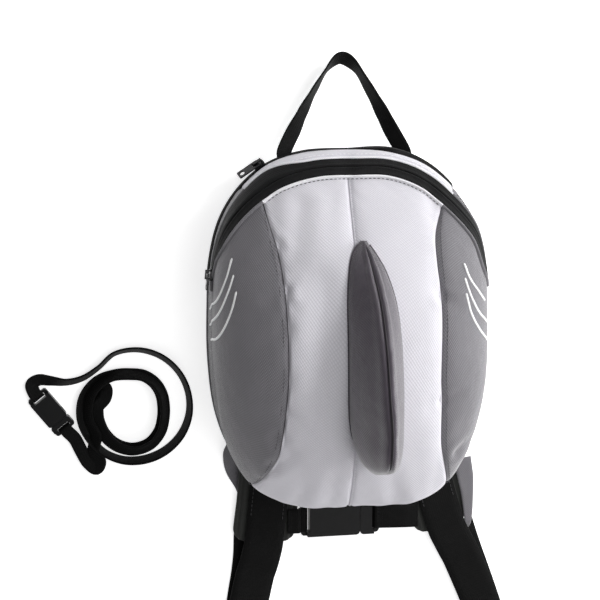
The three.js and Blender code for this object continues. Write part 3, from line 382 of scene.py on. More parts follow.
def place_beyond(turn, place, length):
    """The place that lies a length further out along the skin."""
    turn, place, length = np.broadcast_arrays(np.atleast_1d(turn).astype(float), place, length)
    found = np.empty_like(turn)
    for i in range(len(turn)):
        walked = lengths_along(skin(np.full_like(PLACES, turn[i]), PLACES))
        at = np.interp(place[i], PLACES, walked) + length[i]
        found[i] = np.interp(at, walked, PLACES)
    return found


def zip_line(turn):
    """The zip's line, which runs nearer to the front at the right side than at the left."""
    drooped = ZIP_DROOP["most"] * window(signed(turn), *ZIP_DROOP["shown"])
    low = ZIP_DROOP["low"] * window(signed(turn), *ZIP_DROOP["low_shown"])
    return read_table(ZIP_LINE, 1, unsigned(turn)) - drooped - low


def tape_width(turn):
    left = ZIP["end_turn"] - unsigned(turn)
    ending = np.clip(1 + left / ZIP["end_over"], 0, 1)
    ramp = np.where(signed(turn) > 0, ZIP["right_ramp"], ZIP["end_ramp"])
    return mix(ZIP["end_tape"], ZIP["tape"], smooth(left / ramp)) * ending


TURNS = np.arange(-180, 180.5, 1.0)


def edge_table(side):
    """The edge of the zip's band, towards the front (-1) or the gusset (1)."""
    return place_beyond(TURNS, zip_line(TURNS), side * (tape_width(TURNS) + SEAM["gap"]))


FRONT_EDGE = edge_table(-1)
GUSSET_EDGE = edge_table(1)


def on_edge(table, turn):
    return np.interp(signed(turn), TURNS, table)


def foot_edge(turn):
    past = unsigned(turn) - REAR_ZIP["end_turn"]
    room = (REAR_ZIP["tape"] + SEAM["gap"]) * np.clip(1 - past / ZIP["end_over"], 0, 1)
    return WALL_END - room / wall_height(turn)


def wall_height(turn):
    return read_table(DEPTHS, 1, skin(turn, 1.0)[..., 1] / BAG["height"]) * BAG["depth"]


# Meshes and pieces
def to_row(points):
    return (np.asarray(points) + BAG_ORIGIN) * MILLIMETRE


def new_object(name, data):
    made = bpy.data.objects.new(name, data)
    bpy.context.scene.collection.objects.link(made)
    return made


def make_piece(name, points, faces, look, uvs=None, replaces=()):
    mesh = bpy.data.meshes.new(name)
    mesh.from_pydata(to_row(points).reshape(-1, 3).tolist(), [], faces)
    mesh.polygons.foreach_set("use_smooth", [True] * len(mesh.polygons))
    if uvs is not None:
        layer = mesh.uv_layers.new(name=UV_LAYER)
        corners = np.empty(len(mesh.loops), dtype=np.int32)
        mesh.loops.foreach_get("vertex_index", corners)
        layer.data.foreach_set("uv", (uvs.reshape(-1, 2)[corners] * MILLIMETRE).ravel())
    mesh.materials.append(look["material"])
    mesh.update()
    piece = new_object(name, mesh)
    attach(piece, BODY)
    if replaces:
        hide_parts(*replaces)
    return piece


def grid_faces(rows, columns, wrap=False):
    """Faces of a grid of points in row order, which may close on itself across its columns."""
    faces = []
    last = columns if wrap else columns - 1
    for j in range(rows - 1):
        for i in range(last):
            k = (i + 1) % columns
            faces.append((j * columns + i, j * columns + k, (j + 1) * columns + k, (j + 1) * columns + i))
    return faces


def loft_faces(rings, size):
    """Faces between closed rings of points, with a flat end at each side."""
    faces = grid_faces(rings, size, wrap=True)
    faces.append(tuple(reversed(range(size))))
    faces.append(tuple(range((rings - 1) * size, rings * size)))
    return faces


def sheet(name, points, uvs, look, replaces=()):
    """A piece over a grid of points."""
    return make_piece(name, points, grid_faces(*points.shape[:2]), look, uvs, replaces)


def lofted(name, rings, across, along, look, replaces=()):
    """A closed piece over rings of points, with the places of its cloth across and along it."""
    uvs = np.stack(np.broadcast_arrays(across, along), axis=-1)
    return make_piece(name, rings, loft_faces(*rings.shape[:2]), look, uvs, replaces)


def eased(count, ease=0.75):
    """Shares from 0 to 1 that lie closer together near both ends."""
    even = np.linspace(0, 1, count)
    return mix(even, 0.5 - 0.5 * np.cos(math.pi * even), ease)


def from_edges(points):
    """For each point of a grid, how far it lies from the grid's left, right, bottom and top edges."""
    across = np.linalg.norm(np.diff(points, axis=1), axis=-1)
    along = np.linalg.norm(np.diff(points, axis=0), axis=-1)
    left = np.concatenate([np.zeros((len(points), 1)), np.cumsum(across, axis=1)], axis=1)
    bottom = np.concatenate([np.zeros((1, points.shape[1])), np.cumsum(along, axis=0)], axis=0)
    return left, left[:, -1:] - left, bottom, bottom[-1:] - bottom


# The cloth near its seams, in millimetres: its hem, how it rolls in, gathers and swells, and where it creases
HEM = 2.6
EDGE = {"dip": 1.3, "roll": 1.5, "power": 1.4}
PUCKER = {"height": 0.35, "reach": 9, "from": 3, "pitch": 11, "slant": 0.3}
SWELL = {"height": 0.7, "from": 12, "pitch": 48}
CREASED = {"from": 2, "lowest": 30, "fade": 0.7, "bank": 0.45, "bank_at": 1.9}
# Creases that start at the seams: both ends as shares of the half width and the height, width and depth
CREASES = [
    (-0.53, 0.646, -0.47, 0.67, 3, 1.6), (-0.53, 0.623, -0.45, 0.596, 3, 1.4),
    (-0.55, 0.32, -0.45, 0.299, 3.5, 1.6), (-0.58, 0.762, -0.7, 0.742, 4, 1.5),
    (-0.54, 0.645, -0.67, 0.623, 4, 1.8), (-0.58, 0.238, -0.42, 0.157, 6, 2.2),
    (-0.61, 0.155, -0.45, 0.206, 5, 2.0), (0.57, 0.62, 0.5, 0.642, 3, 1.2),
    (0.58, 0.616, 0.69, 0.591, 3.5, 1.6), (0.58, 0.331, 0.47, 0.317, 3, 1.2),
    (0.59, 0.332, 0.72, 0.347, 3.5, 1.6), (0.75, 0.167, 0.85, 0.2, 4, 2.0),
    (-0.17, 0.028, -0.16, 0.152, 6, 1.2), (0.33, 0.021, 0.24, 0.122, 6, 1.2),
    (-0.4, 0.044, -0.38, 0.122, 5, 1.2), (-0.56, 0.545, -0.7, 0.505, 6, 1.5),
    (-0.56, 0.41, -0.73, 0.375, 6, 1.4), (-0.28, 0.661, -0.31, 0.3, 9, 1.6),
    (-0.4, 0.866, -0.45, 0.753, 7, 1.0),
]


def creases_at(x, y):
    """How deep the creases are at points of the front."""
    depth = np.zeros_like(x)
    for x0, y0, x1, y1, width, sunk in CREASES:
        start = np.array((x0 * HALF_WIDTH, y0 * BAG["height"]))
        run = np.array((x1 * HALF_WIDTH, y1 * BAG["height"])) - start
        share = ((x - start[0]) * run[0] + (y - start[1]) * run[1]) / (run @ run)
        held = np.clip(share, 0, 1)
        away = np.hypot(x - start[0] - held * run[0], y - start[1] - held * run[1]) / width
        bank = CREASED["bank"] * np.exp(-((away - CREASED["bank_at"]) ** 2))
        depth = depth + sunk * (1 - CREASED["fade"] * held) * (np.exp(-away * away) - bank)
    return depth


def sewn_cloth(name, turn, place, look, replaces, dip=EDGE["dip"], seed=1.0):
    """A panel of the skin whose edges roll in to its seams."""
    points, normals = on_skin(turn, place)
    x, y, z = np.moveaxis(points, -1, 0)
    left, right, bottom, top = from_edges(points)
    near = np.minimum(np.minimum(left, right), np.minimum(bottom, top))
    along = bottom + left
    rolled = dip * np.exp(-((near / EDGE["roll"]) ** EDGE["power"]))
    gathers = ripple(along, along * PUCKER["slant"], PUCKER["pitch"], seed) * smooth(near / PUCKER["from"])
    gathers = gathers * PUCKER["height"] * np.exp(-near / PUCKER["reach"])
    swells = SWELL["height"] * smooth(near / SWELL["from"]) * ripple(x, y, SWELL["pitch"], seed + 2)
    folds = creases_at(x, y) * smooth(near / CREASED["from"]) * (z > FOOT_Z + CREASED["lowest"])
    points = points + normals * (gathers + swells - rolled - folds)[..., None]
    points, normals, flat = (hemmed(part) for part in (points, normals, lay_out(turn, place)))
    inside = np.zeros(points.shape[:2])
    inside[[0, -1], :] = HEM
    inside[:, [0, -1]] = HEM
    return sheet(name, points - normals * inside[..., None], flat, look, replaces)


def hemmed(grid):
    return np.pad(grid, ((1, 1), (1, 1), (0, 0)), mode="edge")


def patch(bottom, top, left, right, columns, rows):
    """Turns and places of a grid between four edges on the laid-out skin."""
    u = eased(columns)[None, :, None]
    v = eased(rows)[:, None, None]
    low, high, first, last = bottom(u[0, :, 0]), top(u[0, :, 0]), left(v[:, 0, 0]), right(v[:, 0, 0])
    lifted = low[None] * (1 - v) + high[None] * v
    spread = first[:, None] * (1 - u) + last[:, None] * u
    corners = (low[0] * (1 - u) + low[-1] * u) * (1 - v) + (high[0] * (1 - u) + high[-1] * u) * v
    return place_of(lifted + spread - corners)


def edge_arc(from_turn, to_turn):
    def at(share):
        turn = mix(from_turn, to_turn, share)
        return lay_out(turn, on_edge(FRONT_EDGE, turn))

    return at


def seam_curve(seam, aside, bottom_turn, top_turn):
    """A seam's line on the laid-out skin, some millimetres aside of it."""
    rows = []
    for up, across in seam["rows"]:
        rows.append(lay_out_plan(np.array(across * HALF_WIDTH), np.array(up * BAG["height"])) + (aside, 0))
    ends = [lay_out(np.array(float(turn)), on_edge(FRONT_EDGE, turn)) for turn in (bottom_turn, top_turn)]
    return Spline([ends[0], *rows, ends[1]]).even


def panel_edge(seam, sign, half):
    """The edge of the panel on a seam's left (-1) or right (1), and the turns at its ends."""
    bottom = math.copysign(seam["bottom"], half) - SEAM["turn"] * sign
    top = seam["top"] + SEAM["turn"] * sign
    return seam_curve(seam, GAP / 2 * sign, bottom, top), bottom, top


# The front's halves: left (-1) or right (1), the seams at their left and right, and their seed
HALVES = {"left": (-1, "left", "centre", 3.0), "right": (1, "centre", "right", 7.0)}
FRONT_GRID = (64, 150)
SIDE_GRID = (34, 150)


def add_front(looks):
    for side, (half, first, last, seed) in HALVES.items():
        left, left_bottom, left_top = panel_edge(SEAMS[first], 1, half)
        right, right_bottom, right_top = panel_edge(SEAMS[last], -1, half)
        bottom = edge_arc(left_bottom, right_bottom)
        turns, places = patch(bottom, edge_arc(left_top, right_top), left, right, *FRONT_GRID)
        sewn_cloth(f"front_{side}", turns, places, looks["light"], [f"front_panel_{side}"], seed=seed)


def seam_points(name, aside, inset, count):
    """Points along a seam, short of its ends by a share of its length, and the directions outwards."""
    seam = SEAMS[name]
    curve = seam_curve(seam, aside, seam["bottom"], seam["top"])
    return on_skin(*place_of(curve(np.linspace(inset, 1 - inset, count))))


# The centre seam's line and its stitches, in millimetres, and the share of its length left out at each end
CENTRE_LINE = {"sunk": 1.0, "radius": 0.55, "inset": 0.004, "points": 220}
CENTRE_STITCHES = {"aside": 0.6, "sunk": 0.35, "size": (3.0, 1.9, 0.4)}


def add_centre_seam(looks):
    """A pale thread line along the seam between the two front panels."""
    line, stitches = CENTRE_LINE, CENTRE_STITCHES
    points, normals = seam_points("centre", 0, line["inset"], line["points"])
    tube("centre_seam", points - normals * line["sunk"], line["radius"], looks["light"])
    beside = points + (stitches["aside"], 0, 0) - normals * stitches["sunk"]
    stitched("centre_stitches", beside, normals, looks["white_thread"], *stitches["size"])


def add_sides(looks):
    for side, sign in (("left", -1), ("right", 1)):
        inner, bottom, top = panel_edge(SEAMS[side], sign, sign)
        turns, places = patch(
            lambda u: np.repeat(inner(np.zeros(1)), len(u), axis=0),
            lambda u: np.repeat(inner(np.ones(1)), len(u), axis=0),
            inner, edge_arc(bottom, top), *SIDE_GRID,
        )
        sewn_cloth(f"side_{side}", turns, places, looks["dark"], [f"side_panel_{side}"], seed=4.0 + sign)


# Each gusset's degrees from and to, and its cloth
GUSSETS = [
    ("gusset_top", -36, 36, "light"), ("gusset_right", 36, 141, "dark"),
    ("gusset_bottom", 141, 219, "light"), ("gusset_left", 219, 324, "dark"),
]
GUSSET = {"rows": 24, "columns": 1.5, "dip": 0.9, "seed": 0.1}


def add_gussets(looks):
    for name, start, end, look in GUSSETS:
        turn = np.linspace(start, end, int((end - start) * GUSSET["columns"]))
        turns = turn[None, :] + np.zeros((GUSSET["rows"], 1))
        share = eased(GUSSET["rows"])[:, None]
        places = mix(on_edge(GUSSET_EDGE, turn)[None, :], foot_edge(turn)[None, :], share)
        seed = start * GUSSET["seed"]
        sewn_cloth(f"{name}_cloth", turns, places, looks[look], [name], dip=GUSSET["dip"], seed=seed)


def raised_strip(name, turn, places, heights, look, replaces=()):
    """A narrow strip of the skin whose height over the skin is given across it."""
    heights = np.asarray(heights, float)
    if heights.ndim == 1:
        heights = heights[:, None]
    points, normals = on_skin(np.broadcast_to(turn, places.shape), places)
    points = points + normals * heights[..., None]
    along = lengths_along(points[len(points) // 2])
    across = np.stack([lengths_along(points[:, i]) for i in range(0, points.shape[1], 20)]).mean(axis=0)
    uvs = np.stack(np.broadcast_arrays(along[None, :], across[:, None]), axis=-1)
    return sheet(name, points, uvs, look, replaces)


# Shares across one half of the zip, from its outer edge to the line where the halves meet, with their heights
TAPE_PROFILE = [
    (0, -1.2), (0.02, 0.5), (0.06, 0.9), (0.14, 0.95), (0.4, 0.8), (0.62, 0.75), (0.7, 0.95), (0.8, 1.15),
    (0.9, 1.1), (0.97, 0.7), (1, -0.3),
]
REAR_PROFILE = [
    (0, -0.8), (0.05, 0.7), (0.3, 1.5), (0.44, 1.9), (0.5, 1.2), (0.56, 1.9), (0.75, 1.6), (0.94, 0.8),
    (1, -0.5),
]
# The rear zip's height above the foot, and how much higher and prouder it shows at the right of the arch
REAR_LINE = {"height": 9, "more": 21, "proud": 2.2, "shown": (2, 14, 42, 6)}
# The band's rear half is wider at the left, where it droops over the gusset
SPARE_TAPE = {"most": 7.5, "shown": (14, 16, ZIP["end_turn"], 14)}


def spare_tape(turn):
    return SPARE_TAPE["most"] * window(-turn, *SPARE_TAPE["shown"])


def add_zips(looks):
    turn = np.linspace(-ZIP["end_turn"], ZIP["end_turn"], POINTS["zip"])
    line = zip_line(turn)
    for name, side in (("front", -1), ("rear", 1)):
        edge = place_beyond(turn, line, side * tape_width(turn) + (spare_tape(turn) if side > 0 else 0))
        near = place_beyond(turn, line, side * GAP / 3)
        places = np.stack([mix(edge, near, share) for share, _ in TAPE_PROFILE])
        heights = [height for _, height in TAPE_PROFILE]
        raised_strip(f"zip_{name}", turn, places, heights, looks["tape"], [f"zip_tape_{name}"])
    turn = np.linspace(-REAR_ZIP["end_turn"], REAR_ZIP["end_turn"], POINTS["rear_zip"])
    shown = window(turn, *REAR_LINE["shown"])
    inner = WALL_END - (REAR_LINE["height"] + REAR_LINE["more"] * shown) / wall_height(turn)
    places = np.stack([mix(inner, WALL_END, share) for share, _ in REAR_PROFILE])
    heights = np.stack([height + REAR_LINE["proud"] * shown * (height > 0) for _, height in REAR_PROFILE])
    raised_strip("zip_back", turn, places, heights, looks["tape"], ["rear_zip"])


# The folded edges of the cloth on both sides of the zip: which half, its side, degrees from and to, the look;
# along the top the light cloth's folds are painted brighter, as a highlight
LIPS = [
    ("front", -1, -72, -34, "dark"), ("front", -1, -34, 34, "painted_highlight_lip"), ("front", -1, 34, 72, "dark"),
    ("rear", 1, -72, -36, "dark"), ("rear", 1, -36, 36, "painted_highlight_lip"), ("rear", 1, 36, 72, "dark"),
]
LIP = {"start": -0.5, "width": 2.6, "height": 1.5, "tuck": 0.5, "steps": 7}


def add_lips(looks):
    shares = np.linspace(0, 1, LIP["steps"])
    heights = LIP["height"] * np.sin(math.pi * shares)
    heights[[0, -1]] -= LIP["tuck"]
    for i, (name, side, start, end, look) in enumerate(LIPS):
        turn = np.linspace(start, end, max(POINTS["least_lip"], (end - start) * 2))
        away = tape_width(turn) + LIP["start"]
        inner = place_beyond(turn, zip_line(turn), side * away)
        outer = place_beyond(turn, zip_line(turn), side * (away + LIP["width"]))
        places = np.stack([mix(inner, outer, share) for share in shares])
        if name == "rear":
            shifted = np.interp(turn, TURNS, spare_tape(TURNS))
            places = np.stack([place_beyond(turn, row, shifted) for row in places])
        raised_strip(f"lip_{name}_{i}", turn, places, heights, looks[look])


STITCH = {"sides": 5, "lift": 0.35, "sunk": 0.1, "tip": 0.35}
# Shares of a stitch's length and of its thickness
STITCH_RINGS = [(0, 0.0), (0.2, 1.0), (0.8, 1.0), (1, 0.0)]


def stitched(name, points, normals, look, pitch=3.2, length=2.1, width=0.55):
    """A row of single stitches that lie along a line on the cloth."""
    walked = lengths_along(points)
    angles = 2 * math.pi * np.arange(STITCH["sides"]) / STITCH["sides"]
    ring_faces = grid_faces(len(STITCH_RINGS), STITCH["sides"], wrap=True)
    vertices, faces = [], []

    def read(values, at):
        return np.array([np.interp(at, walked, values[:, k]) for k in range(3)])

    for start in np.arange(pitch / 2, walked[-1] - length, pitch):
        here, there = read(points, start), read(points, start + length)
        up = unit(read(normals, start))
        aside = np.cross(unit(there - here), up)
        faces += [tuple(len(vertices) + corner for corner in face) for face in ring_faces]
        for share, swell in STITCH_RINGS:
            middle = mix(here, there, share) + up * (STITCH["lift"] * swell - STITCH["sunk"])
            radius = width / 2 * mix(STITCH["tip"], 1, swell)
            for angle in angles:
                vertices.append(middle + (aside * math.cos(angle) + up * math.sin(angle)) * radius)
    return make_piece(name, vertices, faces, look)


# The fin: points up a flank, across its base and along it, and how close they lie at their ends
FIN_FLANK = 26
FIN_BASE = 8
FIN_RINGS = 110
FIN_EASE = 0.6
FIN_OUT = (1, 0.15, 0.6)
FIN_ENDS = (0, 0.06, 1, 0.05)
# Its cloth in millimetres, and the shares of a flank where gathers and creases show
FIN_GATHERS = {"height": 0.5, "pitch": 13, "slant": (1, 0.25), "seed": 2.0, "shown": (0.45, 0.3, 0.97, 0.1)}
FIN_CREASES = {"height": 0.7, "pitch": 34, "slant": (0.6, 1), "seed": 5.0, "shown": (0, 0.2, 0.95, 0.15)}
FIN_RIDGE = {"bank": 1.3, "bank_at": 0.88, "bank_width": 0.07, "groove": 2.6, "groove_width": 0.045}
FIN_SEAM = {"sunk": 2.0, "radius": 0.65, "foot_lift": 0.4, "foot_radius": 0.8, "sides": 6}
# The two stuffed lobes at its lower end, in millimetres, from this share of its length
FIN_LOBE = {"from": 0.8, "down": 8.5, "out": 1.6, "blunt": 0.7}


def fin_rings(alongs):
    read = [read_table(FIN_ROWS, column, alongs) for column in range(1, 6)]
    middle = FIN["across"] * HALF_WIDTH
    left, right, crest = (middle + part * FIN["width"] for part in read[:3])
    rise, sweep = read[3] * FIN["rise"], read[4] * FIN["sweep"]
    y = FIN["top"] * BAG["height"] - alongs * FIN["length"]
    share = eased(FIN_FLANK, FIN_EASE)
    rings = []
    for i in range(len(alongs)):
        seats = surface_z(np.array([left[i], crest[i], right[i]]), np.full(3, y[i])) + 2 * GAP
        sides = []
        for edge, seat in ((left[i], seats[0]), (right[i], seats[2])):
            x = mix(crest[i], edge, 1 - share ** FIN["fill"])
            z = mix(seat, seats[1] + rise[i], share)
            sides.append(np.stack([x, y[i] - sweep[i] * share, z], axis=-1))
        under = np.linspace(right[i], left[i], FIN_BASE + 1)[1:-1]
        level = np.full_like(under, y[i])
        base = np.stack([under, level, surface_z(under, level) + 2 * GAP], axis=-1)
        rings.append(np.vstack([sides[0], sides[1][::-1][1:], base]))
    return np.stack(rings)


def fin_relief(rings, share, ends):
    """How far the fin's cloth stands out of its plain form, with the seam sunk along its ridge."""
    out = 0
    for cloth in (FIN_GATHERS, FIN_CREASES):
        y, z = (rings[..., axis] * slant for axis, slant in zip((1, 2), cloth["slant"]))
        waves = ripple(y, z, cloth["pitch"], cloth["seed"])
        out = out + cloth["height"] * waves * window(share, *cloth["shown"])
    bank = np.exp(-(((share - FIN_RIDGE["bank_at"]) / FIN_RIDGE["bank_width"]) ** 2))
    groove = np.exp(-(((share - 1) / FIN_RIDGE["groove_width"]) ** 2))
    return out + (FIN_RIDGE["bank"] * bank - FIN_RIDGE["groove"] * groove) * ends


def add_fin(looks):
    alongs = np.linspace(0, 1, FIN_RINGS)
    rings = fin_rings(alongs)
    out = unit((rings - rings.mean(axis=1, keepdims=True)) * FIN_OUT)
    flank = eased(FIN_FLANK, FIN_EASE)
    share = np.zeros(rings.shape[1])
    share[: 2 * FIN_FLANK - 1] = [*flank, *flank[-2::-1]]
    ends = window(alongs, *FIN_ENDS)[:, None]
    rounded = np.sin(math.pi * share) ** FIN_LOBE["blunt"] * (share > 0)
    lobes = smooth((alongs - FIN_LOBE["from"]) / (1 - FIN_LOBE["from"]))[:, None] * rounded
    points = rings + out * (fin_relief(rings, share, ends) + FIN_LOBE["out"] * lobes)[..., None]
    points[..., 1] -= FIN_LOBE["down"] * lobes
    girth = np.stack([lengths_along(ring) for ring in rings[::10]]).mean(axis=0)
    lofted("fin", points, girth[None, :], (alongs * FIN["length"])[:, None], looks["fin"], ["dorsal_fin"])
    crest = FIN_FLANK - 1
    ridge = rings[:, crest] - out[:, crest] * (FIN_SEAM["sunk"] * ends)
    tube("fin_ridge_seam", ridge[3:-2], FIN_SEAM["radius"], looks["seam_thread"], FIN_SEAM["sides"])
    for name, corner in (("left", 0), ("right", 2 * FIN_FLANK - 2)):
        foot = rings[2:-2, corner] + (0, 0, FIN_SEAM["foot_lift"])
        tube(f"fin_foot_{name}", foot, FIN_SEAM["foot_radius"], looks["fin"], FIN_SEAM["sides"])


def tube(name, points, radius, look, sides=8):
    """A round cord along points."""
    tangents = directions(points)
    aside = unit(np.cross(tangents, UP))
    up = np.cross(aside, tangents)
    angle = 2 * math.pi * np.arange(sides) / sides
    ring = aside[:, None] * np.cos(angle)[:, None] + up[:, None] * np.sin(angle)[:, None]
    rings = points[:, None] + ring * radius
    return lofted(name, rings, radius * angle[None, :], lengths_along(points)[:, None], look)


# A band's section: shares of the half width, millimetres in from its edges, shares of the half thickness
BAND_SECTION = [
    (-1, 0, -0.5), (-1, 0.45, -1), (-0.6, 0, -1), (0, 0, -1), (0.6, 0, -1), (1, -0.45, -1), (1, 0, -0.5),
    (1, 0, 0.5), (1, -0.45, 1), (0.6, 0, 1), (0, 0, 1), (-0.6, 0, 1), (-1, 0.45, 1), (-1, 0, 0.5),
]


def band(name, points, sides, width, thick, look, replaces):
    """A flat woven band along points, with the direction of its width at each of them."""
    flats = unit(np.cross(sides, directions(points)))
    half = np.broadcast_to(np.asarray(width, float) / 2, len(points))
    rings = []
    across = []
    for share, inwards, level in BAND_SECTION:
        reach = share * half + inwards
        rings.append(points + sides * reach[:, None] + flats * (level * thick / 2))
        across.append(reach)
    along = lengths_along(points)[:, None]
    return lofted(name, np.stack(rings, axis=1), np.stack(across, axis=1), along, look, replaces)


STEEP = 0.9


def level_sides(points):
    """Level directions across a path, held where the path is steep, as at a fold."""
    sides = []
    last = None
    for tangent in directions(points):
        level = np.cross(tangent, UP)
        steep = np.linalg.norm(level) < STEEP
        if last is not None and level @ last < 0:
            level = -level
        if last is not None and steep:
            level = last
        last = unit(level)
        sides.append(last)
    return np.array(sides)


def plan_points(rows):
    return [(row[0] * HALF_WIDTH, row[1] * BAG["height"], row[2] if len(row) > 2 else 0.0) for row in rows]


def strap_line(side):
    return Spline(plan_points(STRAP_PATHS[side]))


def strap_frame(side, at):
    """Points on a strap's line and the level directions to its right, at lengths from its top."""
    line = strap_line(side)
    length = line.length()
    share = np.atleast_1d(np.asarray(at, float)) / length
    step = 1e-3
    tangent = unit(line.even(np.minimum(share + step, 1)) - line.even(np.maximum(share - step, 0)))
    return line.even(share), unit(np.cross(tangent, UP))


# Shares of the reach from the middle of the underside round the edge to the upper side, and heights
BACK_PROFILE = [
    (0.02, 0), (0.3, 0), (0.6, 0), (0.85, 0), (0.965, 0.05), (0.992, 0.3), (1, 1.2), (0.992, 2.1),
    (0.96, 2.4), (0.9, 2.4),
]
BACK_STEP = 2.0
BACK_SWELL = {"height": 0.25, "pitch": 60, "seed": 8.0, "last": 0.95}


def add_back(looks):
    turns = np.arange(0, 360, BACK_STEP)
    sine, cosine = heading(turns)
    reach = rim_radius(turns) * (1 - BAG["foot_taper"]) + BACK["lip"]
    rings = []
    for share, height in BACK_PROFILE:
        x, y = reach * share * sine, reach * share * cosine
        swell = BACK_SWELL["height"] * ripple(x, y, BACK_SWELL["pitch"], BACK_SWELL["seed"])
        level = BACK_Z + height + np.maximum(swell * (share < BACK_SWELL["last"]), 0)
        rings.append(np.stack([x, CENTRE_Y + y, level], axis=-1))
    rings = np.stack(rings)
    lofted("back", rings, rings[..., 0], rings[..., 1], looks["dark"], ["back_panel"])


# White curved lines on the flanks: degrees from the top and places on the skin
GILLS = {
    "left_1": [(-56, 0.72), (-64.5, 0.75), (-73.5, 0.865), (-78, 1.12), (-80, 1.355)],
    "left_2": [(-61, 0.675), (-68, 0.71), (-78.5, 0.835), (-84, 1.05), (-86.5, 1.33)],
    "left_3": [(-66.5, 0.635), (-74.5, 0.67), (-84, 0.76), (-89, 0.87), (-92, 1.165)],
    "right_1": [(55, 0.54), (62.5, 0.567), (70.5, 0.655), (75.5, 0.745)],
    "right_2": [(60.5, 0.52), (68.5, 0.547), (78.5, 0.635), (85.5, 0.81)],
    "right_3": [(67, 0.51), (77.5, 0.547), (87, 0.645), (93, 0.8)],
}
GILL = {"width": 2.0, "height": 0.7, "sunk": 0.05, "under": 0.5, "foot": 0.8, "blunt": 0.02}


def add_gills(looks):
    radius = GILL["width"] / 2
    tops = np.linspace(-1, 1, POINTS["line_top"])
    shares = np.array([*tops, GILL["foot"], -GILL["foot"]])
    for name, rows in GILLS.items():
        flat = Spline([lay_out(np.array(float(turn)), np.array(place)) for turn, place in rows])
        points, normals = on_skin(*place_of(flat.even(np.linspace(0, 1, POINTS["line"]))))
        sides = unit(np.cross(directions(points), normals))
        walked = lengths_along(points)
        ending = np.clip(np.minimum(walked, walked[-1] - walked) / radius, GILL["blunt"], 1)
        rounded = np.sqrt(1 - (1 - ending) ** 2)
        levels = [GILL["height"] * rounded * math.sqrt(1 - share * share) - GILL["sunk"] for share in tops]
        levels += [np.full_like(rounded, -GILL["under"])] * 2
        rings = []
        for share, level in zip(shares, levels):
            rings.append(points + sides * (share * radius * rounded)[:, None] + normals * level[:, None])
        rings = np.stack(rings, axis=1)
        lofted(f"line_{name}", rings, (shares * radius)[None, :], walked[:, None], looks["satin"])


# Rows of stitches: the edge they follow, their way off it in millimetres, their degrees, and the thread
STITCHES = [
    ("over_zip", 1, 4.6, (-36, 36), "white_thread"), ("under_zip", -1, 2.7, (-33, 33), "dark_thread"),
    ("over_zip_left", 1, 4.6, (-70, -37), "dark_thread"), ("over_zip_right", 1, 4.6, (37, 70), "dark_thread"),
]
STITCH_STAND = 0.1
SEAM_STITCHES = {"aside": 2.6, "inset": 0.03, "points": 120, "size": (3.0, 2.1, 0.45)}


def add_stitches(looks):
    for name, side, away, (start, end), thread in STITCHES:
        turn = np.linspace(start, end, POINTS["stitches"])
        points, normals = on_skin(turn, place_beyond(turn, zip_line(turn), side * (tape_width(turn) + away)))
        stitched(f"stitches_{name}", points + normals * STITCH_STAND, normals, looks[thread])
    row = SEAM_STITCHES
    for name, sign in (("left", -1), ("right", 1)):
        points, normals = seam_points(name, sign * row["aside"], row["inset"], row["points"])
        stitched(f"stitches_seam_{name}", points, normals, looks["dark_thread"], *row["size"])


# The harness: a pad's section, its sewn channels, the rounding of its end, and the gathers along its edge
PAD_SECTION = {"points": 72, "side": 0.42, "rim": 0.6, "upper": 0.05}
CHANNELS = [(WEBBING["width"] / 2 + 1.2, 0.9), (PAD["width"] / 2 - 3.4, 1.1)]
CHANNEL_WIDTH = 0.9
PAD_END = {"corner": PAD["edge"] * 4, "degrees": (6, 88), "points": 16, "straight_points": 190}
PAD_GATHERS = {"height": 0.3, "slant": 0.3, "pitch": 9, "seed": 1.5, "from": 15, "over": 3}


def pad_section(half, raised):
    """One ring across a pad, with a channel beside the webbing and one inside the bound edge."""
    angle = np.linspace(0, 2 * math.pi, PAD_SECTION["points"], endpoint=False)
    c, s = np.cos(angle), np.sin(angle)
    x = half * np.sign(c) * np.abs(c) ** PAD_SECTION["side"]
    rim = np.sign(s) * np.abs(s) ** PAD_SECTION["rim"]
    z = (PAD["thick"] + raised) / 2 + rim * (PAD["thick"] - raised) / 2
    for at, depth in CHANNELS:
        z = z - depth * np.exp(-(((np.abs(x) - at) / CHANNEL_WIDTH) ** 2)) * (s > PAD_SECTION["upper"])
    return x, z


def add_pad(side, looks):
    corner = PAD_END["corner"]
    straight = np.linspace(0, PAD["length"] - corner, PAD_END["straight_points"])
    sine, cosine = heading(np.linspace(*PAD_END["degrees"], PAD_END["points"]))
    at = np.concatenate([straight, PAD["length"] - corner + corner * sine])
    narrow = np.concatenate([np.zeros_like(straight), corner * (1 - cosine)])
    here, sides = strap_frame(side, at)
    lift = PAD["lift"] if side == "left" else 0
    raised = lift * smooth((at - PAD["lift_from"]) / PAD["lift_over"])
    rings = []
    across = []
    for i in range(len(at)):
        x, z = pad_section(PAD["width"] / 2 - narrow[i], raised[i])
        slanted = x * PAD_GATHERS["slant"]
        gather = ripple(np.full_like(x, at[i]), slanted, PAD_GATHERS["pitch"], PAD_GATHERS["seed"])
        shown = smooth((np.abs(x) - PAD_GATHERS["from"]) / PAD_GATHERS["over"]) * (z > raised[i] + 1)
        ring = here[i] + sides[i] * x[:, None]
        ring[:, 2] = np.clip(z + PAD_GATHERS["height"] * gather * shown, raised[i], None)
        rings.append(ring)
        across.append(lengths_along(np.stack([x, z], axis=-1)))
    nodes = [f"shoulder_pad_{side}"]
    pad = lofted(f"pad_{side}", np.stack(rings), np.stack(across), at[:, None], looks["pad"], nodes)


# How many points the webbing's route has down the pad, past its end, round the fold and back
WEBBING_STEPS = {"down": 10, "past": 4, "fold": 6, "back": 5}


def even_steps(count):
    """Shares from the first step to 1."""
    return np.arange(1, count + 1) / count


